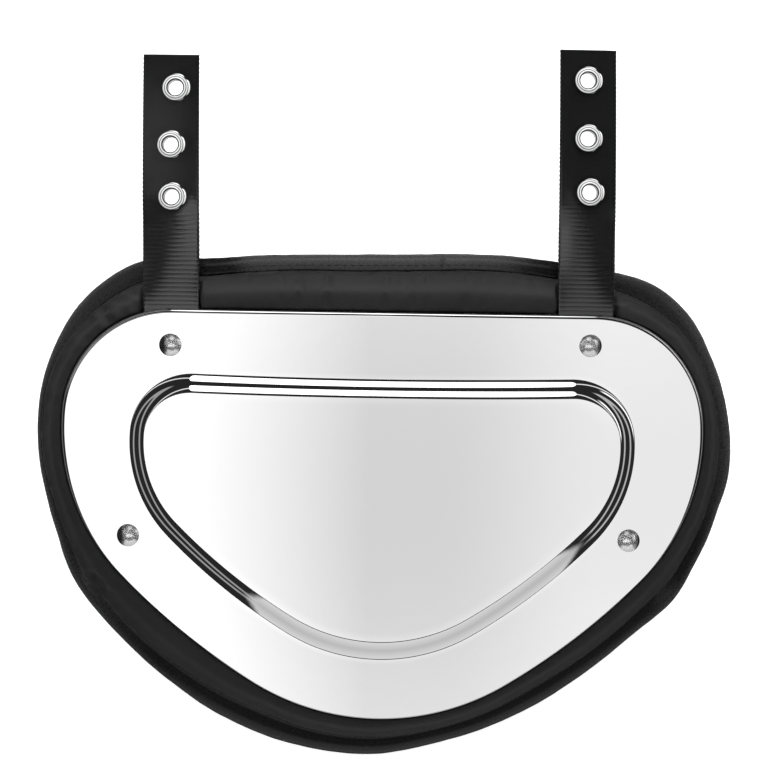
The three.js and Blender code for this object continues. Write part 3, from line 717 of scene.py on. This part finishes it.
# How far the free webbing's edges curl down: where that grows and eases off up the strap, by what
# share it eases, and the share that is left on the inner edge.
STRAP_CURL, CURL_GROWS, CURL_EASES, CURL_EASED, CURL_INNER = 1.2, (0, 30), (36, 50), 0.65, 0.8
SEALED = 2.2  # the melted end, where the ribs fade
RIBS_FADE, RIBS_FADED = (30, 75), 0.6  # where up the strap they get fainter, and by how much
DRILL_STRAP, DRILL_SHELL = 0.006, 0.012  # m to each side
EYELETS = {
    # v, and how far off the strap's middle, from the tip down
    "left": ((99.3, 2.3), (73.6, 0.1), (50.2, 0.6)),
    "right": ((105.3, -0.4), (79.2, -0.3), (54.9, 0.7)),
}
EYELET_BARREL, EYELET_FLANGE = 4.3, 6.6
RIVETS = ((-95.7, -16.3), (92.8, -13.8), (-113.9, -102.6), (111.7, -101.5))
RIVET_SHANK = 2.1
# Half of the webbing's section: share of the half width, share of the half thickness.
WEB_SECTION = ((0.0, 1.0), (0.17, 1.0), (0.34, 1.0), (0.5, 1.0), (0.64, 1.0), (0.76, 1.0), (0.85, 1.0),
               (0.91, 1.02), (0.955, 1.04), (0.982, 0.9), (0.996, 0.55), (1.0, 0.0))


def outward(u):
    """Direction out of the lying shell at u."""
    return (lay(u, 0.0, 1.0) - lay(u, 0.0, 0.0)) / MM


def strap_seats(name):
    """Places of a strap's eyelets and the direction the webbing faces there."""
    seats = []
    for v, shift in EYELETS[name]:
        (u, w), (next_u, next_w) = strap_middle(name, v), strap_middle(name, v + 1)
        here, ahead = lay(u + shift, v, w), lay(next_u + shift, v + 1, next_w)
        across = np.cross([0.0, 1.0, 0.0], outward(u))
        facing = np.cross(across, ahead - here)
        seats.append((here, facing / np.linalg.norm(facing)))
    return seats


def drill(mesh, seats, radius, reach):
    """Cuts round holes through a mesh along each seat's direction."""
    cutter = bmesh.new()
    for place, facing in seats:
        turn = Vector((0, 0, 1)).rotation_difference(Vector(facing)).to_matrix().to_4x4()
        matrix = Matrix.Translation(Vector(place)) @ turn
        bmesh.ops.create_cone(cutter, cap_ends=True, segments=40, radius1=radius, radius2=radius,
                              depth=2 * reach, matrix=matrix)
    tool = bpy.data.meshes.new("drill")
    cutter.to_mesh(tool)
    cutter.free()
    blank, bit = (bpy.data.objects.new(n, m) for n, m in (("blank", mesh), ("bit", tool)))
    for obj in (blank, bit):
        scene.collection.objects.link(obj)
    cut = blank.modifiers.new("cut", "BOOLEAN")
    cut.operation, cut.solver, cut.object = "DIFFERENCE", "EXACT", bit
    depsgraph = bpy.context.evaluated_depsgraph_get()
    made = bpy.data.meshes.new_from_object(blank.evaluated_get(depsgraph), depsgraph=depsgraph)
    for obj in (blank, bit):
        bpy.data.objects.remove(obj)
    return made


WEB_DARK, WEB_WORN = grey(0.0045), grey(0.009)

webbing, tree = blank_material("ribbed_webbing")
place = Wire.node(tree, "ShaderNodeTexCoord", out="Object")
run, side = cloth_run(tree)
pick = run.math("SINE", run * (2 * math.pi / WEB_PICK))
end = side.math("SINE", side * (2 * math.pi / WEB_END))
blotch = noise(tree, place, 60.0)
fleck = noise(tree, place, 1500.0, 2.0)
ridge = marked(tree, "ridge")
principled(tree, {
    "Base Color": blend_colour(tree, blotch * 0.35 + fleck * 0.35 + ridge * 0.5 - 0.2, WEB_DARK, WEB_WORN),
    "Roughness": 0.08 + 0.03 * fleck,
    "Normal": bumped(tree, pick * 0.3 + end * 0.45 + fleck * 0.5, 0.000006, 0.9),
    "Specular IOR Level": 0.8,
    "Sheen Weight": 0.04,
    "Sheen Roughness": 0.35,
})

ribbed, wires = empty_tree("ribs_across", {"Pitch": "NodeSocketFloat", "Height": "NodeSocketFloat"})


def named(tree, name, kind="FLOAT"):
    return Wire.node(tree, "GeometryNodeInputNamedAttribute", {"data_type": kind}, {"Name": name})


swing = named(ribbed, "run") * math.pi / wires["Pitch"]
ridge_height = swing.math("POWER", swing.math("ABSOLUTE", swing.math("SINE", swing)), 0.6)
rib_lift = (ridge_height - 0.5) * wires["Height"] * named(ribbed, "free")
push = Wire.node(ribbed, "ShaderNodeVectorMath", {"operation": "SCALE"}, {
    0: Wire.node(ribbed, "GeometryNodeInputNormal"), "Scale": rib_lift,
})
kept = Wire.node(ribbed, "GeometryNodeStoreNamedAttribute", {"data_type": "FLOAT", "domain": "POINT"}, {
    "Geometry": wires["Mesh"], "Name": "ridge", "Value": ridge_height * named(ribbed, "free"),
})
close_tree(ribbed, Wire.node(ribbed, "GeometryNodeSetPosition", inputs={0: kept, "Offset": push}), webbing)

half_section = np.array(WEB_SECTION)
quarters = (half_section, half_section[-2::-1], half_section[1:], half_section[-2:0:-1])
web_across, web_thick = (
    np.concatenate([sign * quarter[:, i] for sign, quarter in zip(signs, quarters)])
    for i, signs in enumerate(((1, 1, -1, -1), (1, -1, -1, 1)))
)


def strap_mesh(name):
    """A strap's section swept from its root to its tip."""
    tip = STRAPS[name][2]
    vs = np.append(np.arange(STRAP_ROOT, tip - 0.3, ROW_STEP), [tip - 0.25, tip - 0.08, tip])
    ends = np.sqrt(np.clip((tip - vs) / 0.5, 0.0, 1)) * 0.35 + 0.65
    edge_wave = SELVEDGE_WAVE * np.sin(vs * 2 * math.pi / (RIB_PITCH / MM))
    rows, frees, runs = [], [], []
    for v, end, wave in zip(vs, ends, edge_wave):
        u, w = strap_middle(name, v)
        across = web_across * STRAP_HALF
        eyelet_near = np.min([np.hypot(across - shift, v - at) for at, shift in EYELETS[name]], axis=0)
        clear = smoothstep(EYELET_FLANGE + 0.2, EYELET_FLANGE + 3.5, eyelet_near)
        outer = web_across * (-1 if name == "left" else 1) > 0
        curl = STRAP_CURL * smoothstep(*CURL_GROWS, v) * (1 - CURL_EASED * smoothstep(*CURL_EASES, v))
        curl = curl * clear * np.where(outer, 1.0, CURL_INNER) * web_across**2
        selvedge = smoothstep(0.93, 1.0, np.abs(web_across)) * wave * np.sign(web_across)
        height = w + web_thick * STRAP_HALF_THICK * end * WEB_PRESSED - curl
        rows.append(lay(u + across + selvedge, np.full_like(across, v), height))
        plain = 1 - RIBS_FADED * smoothstep(*RIBS_FADE, v)
        frees.append(clear * plain * smoothstep(0.4, SEALED, tip - v) * smoothstep(0.2, 3.0, v + 1))
        runs.append(np.full_like(across, v - STRAP_ROOT))
    count = len(web_across)
    middles = [rows[0].mean(axis=0), rows[-1].mean(axis=0)]
    around = np.append(0, np.cumsum(np.hypot(np.diff(np.append(web_across, web_across[0])) * STRAP_HALF,
                                             np.diff(np.append(web_thick, web_thick[0])))))
    quads = len(rows) - 1
    uvs = np.zeros((quads, count, 4, 2))
    for corner, (i, r) in enumerate(((0, 0), (1, 0), (1, 1), (0, 1))):
        uvs[:, :, corner, 0] = MM * (vs[r : quads + r, None] - STRAP_ROOT)
        uvs[:, :, corner, 1] = MM * around[None, i : count + i]
    caps = np.zeros((2 * count * 3, 2))
    mesh = loft(rows, middles, np.vstack([uvs.reshape(-1, 2), caps]))
    mark(mesh, "run", np.append(np.array(runs) * MM, [0.0, 0.0]))
    mark(mesh, "free", np.append(frees, [0.0, 0.0]))
    return mesh


for name in STRAPS:
    mesh = grow(strap_mesh(name), ribbed, {"Pitch": RIB_PITCH, "Height": RIB_HEIGHT})
    rivet_u, rivet_v = RIVETS[0 if name == "left" else 1]
    rivet_seat = (lay(rivet_u, rivet_v, 0.0), outward(rivet_u))
    mesh = drill(mesh, strap_seats(name), (EYELET_BARREL + GAP) * MM, DRILL_STRAP)
    mesh = drill(mesh, [rivet_seat], (RIVET_SHANK + GAP) * MM, DRILL_STRAP)
    piece(f"webbing_{name}", mesh, webbing)
    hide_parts(f"strap_{name}")

# ---- Eyelets ------------------------------------------------------------------------------------
# Bright nickel-plated brass, three to a strap: a barrel pressed through the webbing, rolled over
# in front into a round rim on a thin washer, with a flat flange behind.

EYELET_SIDES = 64
# Radius and height over the webbing's middle round the section, the washer's share of its lobes, and
# how much painted shade and painted dark reflection lie on the plating there: in the bore, in the
# groove inside the rim and round the rim's outer edge.
EYELET_SECTION = (
    (3.42, -1.70, 0, 0), (3.60, -1.95, 0, 0), (4.00, -2.00, 0, 0), (6.30, -2.00, 0, 0), (6.55, -1.90, 0, 0),
    (6.60, -1.65, 0, 0), (6.50, -1.40, 0, 0), (6.20, -1.30, 0, 0), (4.30, -1.30, 0, 0), (4.30, 1.06, 0, 0),
    (5.20, 1.10, 1, 0), (5.42, 1.12, 1, 0), (5.56, 1.22, 1, 0), (5.58, 1.38, 1, 0), (5.50, 1.52, 1, 0),
    (5.34, 1.58, 1, 0), (5.10, 1.60, 0.6, 0), (5.82, 1.62, 0, 1), (6.00, 1.72, 0, 1), (6.05, 1.86, 0, 1),
    (5.97, 2.03, 0, 1), (5.80, 2.16, 0, 0.9), (5.62, 2.23, 0, 0.4), (5.40, 2.29, 0, 0.3),
    (5.15, 2.32, 0, 0.4), (5.02, 2.28, 0, 0.9), (4.74, 2.30, 0, 0.9), (4.66, 2.42, 0, 0.3),
    (4.50, 2.51, 0, 0.2), (4.32, 2.53, 0, 0.2), (4.16, 2.50, 0, 0.4), (4.02, 2.42, 0, 1), (3.90, 2.33, 0, 1),
    (3.70, 2.20, 0, 1), (3.54, 2.06, 0, 1), (3.45, 1.85, 0, 0.3), (3.42, 1.60, 0, 0),
)
WASHER_OUT, WASHER_SHIFT, WASHER_TURN = 0.75, (0.3, 0.1), math.radians(20)


def turned(section, sides, lobes=None):
    """Rings of a body turned on the Z axis from a section of radius, height and share of the lobes."""
    angle = np.linspace(0, 2 * math.pi, sides, endpoint=False)
    rings = []
    for radius, height, share in section:
        radius = radius + (0 if lobes is None else share * lobes(angle))
        shift = share * np.array(WASHER_SHIFT)
        x, y = radius * np.cos(angle) + shift[0], radius * np.sin(angle) + shift[1]
        rings.append(MM * np.stack([x, y, np.full(sides, height)], axis=-1))
    return rings


def washer_lobes(angle):
    """How far the washer stands out from under the rim, with a notch at each side of its right lobe."""
    away = (np.abs((angle + math.pi) % (2 * math.pi) - math.pi) - math.pi / 4) / 0.2
    return WASHER_OUT * (1 - np.exp(-away * away)) * np.abs(np.cos((angle - WASHER_TURN) / 2))


nickel, tree = blank_material("bright_nickel")
place = Wire.node(tree, "ShaderNodeTexCoord", out="Object")
haze = noise(tree, place, 260.0)
scratch = noise(tree, place, 2200.0, 2.0)
# Painted shade in the bore and the rim's groove, and a painted dark reflection round the rim's outer edge.
painted_shade_and_reflection = marked(tree, "painted_shade_and_reflection")
principled(tree, {
    "Base Color": blend_colour(tree, painted_shade_and_reflection, blend_colour(tree, haze, grey(0.90), grey(0.97)), grey(0.02)),
    "Metallic": 0.3,
    "Roughness": 0.14 + 0.10 * haze + 0.06 * scratch,
    "Normal": bumped(tree, scratch, 0.000008),
})

set_in, wires = empty_tree("set_in_place", {"Pattern": "NodeSocketObject"})
shape = Wire.node(set_in, "GeometryNodeObjectInfo", inputs={"Object": wires["Pattern"]}, out="Geometry")
turn = Wire.node(set_in, "FunctionNodeAlignRotationToVector", {"axis": "Z"}, {
    "Vector": named(set_in, "facing", "FLOAT_VECTOR"),
})
placed = Wire.node(set_in, "GeometryNodeInstanceOnPoints", inputs={
    "Points": wires["Mesh"], "Instance": shape, "Rotation": turn,
})


def set_pieces(pattern_mesh, seats, material):
    """Copies of a pattern on its seats, each turned the way its seat faces."""
    pattern = bpy.data.objects.new("pattern", pattern_mesh)
    scene.collection.objects.link(pattern)
    mesh = bpy.data.meshes.new("seats")
    mesh.from_pydata([list(place) for place, _ in seats], [], [])
    facing = mesh.attributes.new("facing", "FLOAT_VECTOR", "POINT")
    facing.data.foreach_set("vector", np.array([f for _, f in seats], dtype=np.float32).ravel())
    made = grow(mesh, set_in, {"Pattern": pattern})
    bpy.data.objects.remove(pattern)
    made.materials.clear()
    made.materials.append(material)
    return made


close_tree(set_in, placed, nickel)
eyelet_pattern = loft(turned([row[:3] for row in EYELET_SECTION], EYELET_SIDES, washer_lobes))
mark(eyelet_pattern, "painted_shade_and_reflection", np.repeat([row[3] for row in EYELET_SECTION], EYELET_SIDES))
for name in STRAPS:
    eyelets = piece(f"eyelets_{name}", set_pieces(eyelet_pattern, strap_seats(name), nickel))
    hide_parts(*(f"eyelet_{name}_{i}" for i in (1, 2, 3)))

# ---- Shell --------------------------------------------------------------------------------------
# Moulded plastic plated to a mirror, bent round the back, with a rounded edge. A smooth step lifts
# its centre panel. It lies on the straps and the pad, and four rivets hold it.

SHELL_THICK = 3.0
PANEL_TOP_HALF, PANEL_DROP, PANEL_BOW = 84.7, 30.0, 1.0
PANEL_ARCS = ((86, 28.5), (135, 60.7), (149, 281.0))
STEP_SPREAD = 0.07  # the step is this share wider at the top and toe, and narrower at the sides
SHELL_STEPS = (72, 60, 52, 48, 44)
EDGE_INSET, EDGE_INSET_TOE, EDGE_BELOW = 1.9, 0.6, 1.5  # how far the edge rounds in and down
EDGE_EASES = (-130, -60)  # v where the toe's tighter edge passes into the wider one
EDGE_CREASE = 0.004  # a ring close inside the edge keeps the flat border flat
STEP_ARCS = ((1.2, 20, 5), (11.6, 21, 10))  # radius, degrees turned, facets; the upper half mirrors it

shell_edge = Outline(SHELL_TOP_HALF, 0.0, SHELL_ARCS, SHELL_STEPS)
panel_foot = Outline(PANEL_TOP_HALF, PANEL_DROP, PANEL_ARCS, SHELL_STEPS, PANEL_BOW)
step_width = 1 + STEP_SPREAD * (2 * panel_foot.nv**2 - 1)
edge_inset = EDGE_INSET_TOE + (EDGE_INSET - EDGE_INSET_TOE) * smoothstep(*EDGE_EASES, shell_edge.v)

step = [(0.0, 0.0)]
tilt = 0.0
for radius, turn, facets in STEP_ARCS:
    run, rise = step[-1]
    for angle in tilt + np.radians(turn) * np.arange(1, facets + 1) / facets:
        inward, up = math.sin(angle) - math.sin(tilt), math.cos(tilt) - math.cos(angle)
        step.append((run + radius * inward, rise + radius * up))
    tilt += math.radians(turn)
mid_run, mid_rise = step[-1]
step += [(2 * mid_run - run, 2 * mid_rise - rise) for run, rise in step[-2::-1]]
STEP_RUN, STEP_RISE = step[-1]


def shell_face(height, sign, rounds, borders, shares, thin):
    """Rings of one face of the shell, from its rounded edge in to the panel's middle."""
    rings = []
    for angle in np.linspace(0, math.pi / 2, rounds + 1)[:-1]:
        inset, below = edge_inset * (1 - math.cos(angle)), EDGE_BELOW * (1 - math.sin(angle))
        rings.append(shell_edge.ring(-inset, height - sign * below))
    outer, foot = np.array(shell_edge.beyond(-edge_inset)), np.array(panel_foot.beyond(0.0))
    for share in np.insert(np.linspace(0, 1, borders + 1)[:-1], 1, EDGE_CREASE):
        rings.append(lay(*(outer + (foot - outer) * share), height))
    rings += [panel_foot.ring(-run * step_width, height + rise) for run, rise in step[::thin]]
    brow = np.array(panel_foot.beyond(-STEP_RUN * step_width))
    for share in shares:
        rings.append(lay(brow[0] * share, MIDDLE_V + (brow[1] - MIDDLE_V) * share, height + STEP_RISE))
    return rings


front = shell_face(SHELL_THICK, 1, 10, 12, np.linspace(1, 0, 16)[1:-1], 1)
back = shell_face(0.0, -1, 4, 3, (0.66, 0.33), 6)[1:]
shell_mesh = loft(
    back[::-1] + front, [lay(0.0, MIDDLE_V, w) for w in (STEP_RISE, SHELL_THICK + STEP_RISE)]
)
rivet_seats = [(lay(u, v, SHELL_THICK), outward(u)) for u, v in RIVETS]
shell_mesh = drill(shell_mesh, rivet_seats, (RIVET_SHANK + GAP) * MM, DRILL_SHELL)
shell_mesh.set_sharp_from_angle(angle=math.radians(35))

chrome, tree = blank_material("mirror_chrome")
place = Wire.node(tree, "ShaderNodeTexCoord", out="Object")
smear = noise(tree, place, 16.0, 4.0)
peel = noise(tree, place, 120.0, 2.0)
speck = noise(tree, place, 1800.0, 1.0)
principled(tree, {
    "Base Color": blend_colour(tree, smear, grey(0.91), grey(0.94)),
    "Metallic": 1.0,
    "Roughness": 0.012 + 0.03 * smear,
    "Normal": bumped(tree, peel * 0.8 + speck * 0.02, 0.000012),
})

shell = piece("shell", shell_mesh, chrome)
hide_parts("plate")

# ---- Rivets -------------------------------------------------------------------------------------
# Four steel rivets with satin dome heads, through the shell, the straps at the top, and the pad.
# Their tails are clenched over into plain discs let into the pad's back.

RIVET_HEAD, RIVET_BRIM, RIVET_SLOPE = 5.1, 0.3, math.radians(44)
RIVET_TAIL, RIVET_TAIL_THICK, RIVET_TAIL_DEPTH = 4.5, 1.0, 0.4
RIVET_SIDES = 56
tail_end = BACK_W + RIVET_TAIL_DEPTH - SHELL_THICK
tail_top = tail_end + RIVET_TAIL_THICK
dome_radius = RIVET_HEAD / math.sin(RIVET_SLOPE)
dome = [
    (dome_radius * math.sin(a), GAP + RIVET_BRIM + dome_radius * (math.cos(a) - math.cos(RIVET_SLOPE)))
    for a in np.linspace(RIVET_SLOPE, 0, 16)
]
rivet_section = [
    (RIVET_TAIL - 0.3, tail_end), (RIVET_TAIL - 0.08, tail_end + 0.08), (RIVET_TAIL, tail_end + 0.3),
    (RIVET_TAIL, tail_top - 0.1), (RIVET_TAIL - 0.1, tail_top), (RIVET_SHANK, tail_top),
    (RIVET_SHANK, GAP), (RIVET_HEAD - 0.2, GAP), (RIVET_HEAD - 0.02, GAP + 0.1),
    *dome[:-1],
]

satin, tree = blank_material("satin_steel")
place = Wire.node(tree, "ShaderNodeTexCoord", out="Object")
grain = noise(tree, place, 1400.0, 3.0)
haze = noise(tree, place, 180.0)
# Painted dark reflection: the heads' base colour goes dark where they would mirror a dark room.
painted_dark_reflection = marked(tree, "painted_dark_reflection")
polished = blend_colour(tree, haze * 0.6 + grain * 0.4, grey(0.86), grey(0.97))
principled(tree, {
    "Base Color": blend_colour(tree, painted_dark_reflection, polished, grey(0.05)),
    "Metallic": 0.87,
    "Roughness": 0.2 + 0.06 * haze,
    "Normal": bumped(tree, grain, 0.000001),
})

rivet_rings = turned([(r, h, 0) for r, h in rivet_section], RIVET_SIDES)
rivet_ends = [MM * np.array((0, 0, height)) for height in (tail_end, dome[-1][1])]
rivet_mesh = set_pieces(loft(rivet_rings, rivet_ends), rivet_seats, satin)

# The heads carry a painted dark reflection on their outer sides, the right pair less, and on their upper
# sides: where that starts and is full, in radii from the middle.
PAINTED_DARK_OUTER, PAINTED_DARK_UPPER, PAINTED_DARK_UPPER_SHARE = (0.15, 0.65), (0.35, 0.7), 0.75
PAINTED_DARK_RIGHT_LATER = 0.25
from_seats = points_of(rivet_mesh)[:, None] - np.array([seat for seat, _ in rivet_seats])
nearest = np.argmin(np.linalg.norm(from_seats, axis=-1), axis=-1)
on_head = from_seats[np.arange(len(nearest)), nearest] / (RIVET_HEAD * MM)
on_left = np.array([seat[0] < 0 for seat, _ in rivet_seats])[nearest]
outer = np.where(on_left, -on_head[:, 0], on_head[:, 0] - PAINTED_DARK_RIGHT_LATER)
upper = PAINTED_DARK_UPPER_SHARE * smoothstep(*PAINTED_DARK_UPPER, on_head[:, 1])
mark(rivet_mesh, "painted_dark_reflection", np.maximum(smoothstep(*PAINTED_DARK_OUTER, outer), upper))
rivets = piece("rivets", rivet_mesh)
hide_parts("rivet_top_left", "rivet_top_right", "rivet_low_left", "rivet_low_right")
rivets.visible_glossy = False

# ---- Table, light and camera --------------------------------------------------------------------
# A white table under a wide soft box. The mirror sees the box, a strip of light beyond the straps
# and a pale wall behind the toe, all in a dark room, as a studio for bright metal is set up.

TABLE_HALF = 1.3
floor_mesh = bpy.data.meshes.new("table")
corners = [(TABLE_HALF * x, TABLE_HALF * y, 0) for x, y in ((-1, -1), (1, -1), (1, 1), (-1, 1))]
floor_mesh.from_pydata(corners, [], [(0, 1, 2, 3)])
table_white, tree = blank_material("white_table")
principled(tree, {
    "Base Color": grey(0.86), "Roughness": 0.9, "Specular IOR Level": 0.0,
    "Emission Color": grey(1.0), "Emission Strength": 0.55,
})
floor_mesh.materials.append(table_white)
table = bpy.data.objects.new("table", floor_mesh)
scene.collection.objects.link(table)
table.visible_glossy = False

world = bpy.data.worlds.new("studio")
world.use_nodes = True
scene.world = world
tree = world.node_tree
tree.nodes.clear()
# Directions as angles: from straight up, round the compass, and leaning east and north.
look = Wire.node(tree, "ShaderNodeSeparateXYZ", inputs={0: Wire.node(tree, "ShaderNodeTexCoord")})
east, north, zenith = (Wire(look.socket.node.outputs[i]) for i in range(3))
sideways = east * east + north * north
out_of_plumb = zenith.math("ARCTAN2", sideways.math("SQRT", sideways), zenith)
bearing = east.math("ARCTAN2", east, north)
lean_x = east.math("ARCTAN2", east, zenith)
lean_y = north.math("ARCTAN2", north, zenith)


def graded(value, low, high, first=0.0, last=1.0, kind="SMOOTHSTEP"):
    """A value's grade from first to last between two limits."""
    return Wire.node(value.tree, "ShaderNodeMapRange", {"interpolation_type": kind}, {
        "Value": value, "From Min": low, "From Max": high, "To Min": first, "To Max": last,
    })


def window(value, low, high, soft):
    """1 between two angles in degrees, 0 outside, with soft edges."""
    low, high, soft = (math.radians(x) for x in (low, high, soft))
    return graded(value, low - soft, low + soft) * graded(value, high - soft, high + soft, 1.0, 0.0)


# The soft box: brighter to the west and the far east, its north edge cut in a slant to both sides,
# and dimmer in its north-east.
fall = graded(lean_x, -0.28, -0.02, 0.48, 0.0, "LINEAR")
rise = graded(lean_x, 0.06, 0.30, 0.0, 0.17)
dip = (lean_y + 0.115) / 0.05
box_light = (0.68 + fall + rise + 0.06 * dip * dip) * window(lean_x, -27, 27, 0.7)
slant = lean_y + 0.45 * lean_x.math("ABSOLUTE", lean_x)
box_light = box_light * window(lean_y, -15, 20, 0.7) * window(slant, -60, 6.2, 0.7)
box_light = box_light * (1 - 0.55 * graded(lean_y, -0.052, -0.005) * graded(lean_x, 0.0, 0.12))
# The strip beyond the straps, rounded off at its ends, and a small card to the east.
slope = (out_of_plumb - math.radians(51.6)) / math.radians(12.2)
taper = graded(east, 0.10, 0.24, 0.0, 1.0, "LINEAR") + graded(east, -0.25, -0.20, 1.0, 0.0, "LINEAR")
strip = graded(slope * slope + taper * taper, 0.94, 1.06, 2.0, 0.0) * graded(north, 0.0, 0.1)
card = 1.3 * window(out_of_plumb, 58, 64, 0.7) * window(bearing, 44, 90, 4)
# A low pale ring to both sides, the wall behind the toe, and a bounce that the straps' ribs catch.
ring = window(out_of_plumb, 79, 88.5, 1.0) * (
    0.46 * window(bearing, 15, 131.5, 2) + 0.32 * window(bearing, -143, -15, 2)
)
wall_grey = graded(out_of_plumb, math.radians(40), math.radians(90), 0.74, 0.5, "LINEAR")
wall = wall_grey * window(out_of_plumb, 44, 112, 1.5) * (1 - window(bearing, -143, 133.6, 1))
bounce = 0.4 * window(lean_y, 5, 12.5, 2) * window(lean_x, -50, -13, 6)
DARK_ROOM = 0.02
studio = DARK_ROOM + box_light + bounce + strip + card + ring + wall

# Mirrors see that studio, cloth gets soft light with more from the north, and the camera sees white.
ray = Wire.node(tree, "ShaderNodeLightPath", out="Is Camera Ray")
gloss = Wire(ray.socket.node.outputs["Is Glossy Ray"])
SOFT, NORTH_LIGHT, BACKDROP = 0.85, 8.0, 1.0
soft = SOFT + NORTH_LIGHT * window(out_of_plumb, 52, 100, 6) * graded(north, 0.35, 0.75)
seen = gloss * studio + (1 - gloss) * soft
level = ray * BACKDROP + (1 - ray) * seen
background = Wire.node(tree, "ShaderNodeBackground", inputs={"Color": grey(1.0), "Strength": level})
tree.links.new(background.socket, tree.nodes.new("ShaderNodeOutputWorld").inputs["Surface"])
world.cycles.sampling_method = "NONE"
scene.view_settings.view_transform = "Standard"

IMAGE = 768
PIXEL = 0.00045  # m, at the shell
CAMERA_OVER = 1.5
camera_data = bpy.data.cameras.new("camera")
camera_data.lens = camera_data.sensor_width * CAMERA_OVER / (PIXEL * IMAGE)
camera = bpy.data.objects.new("camera", camera_data)
camera.location = (-0.00026, 0.00797, 0.0244 + CAMERA_OVER)
camera.rotation_euler = (0, 0, math.radians(0.9))
scene.collection.objects.link(camera)
scene.camera = camera
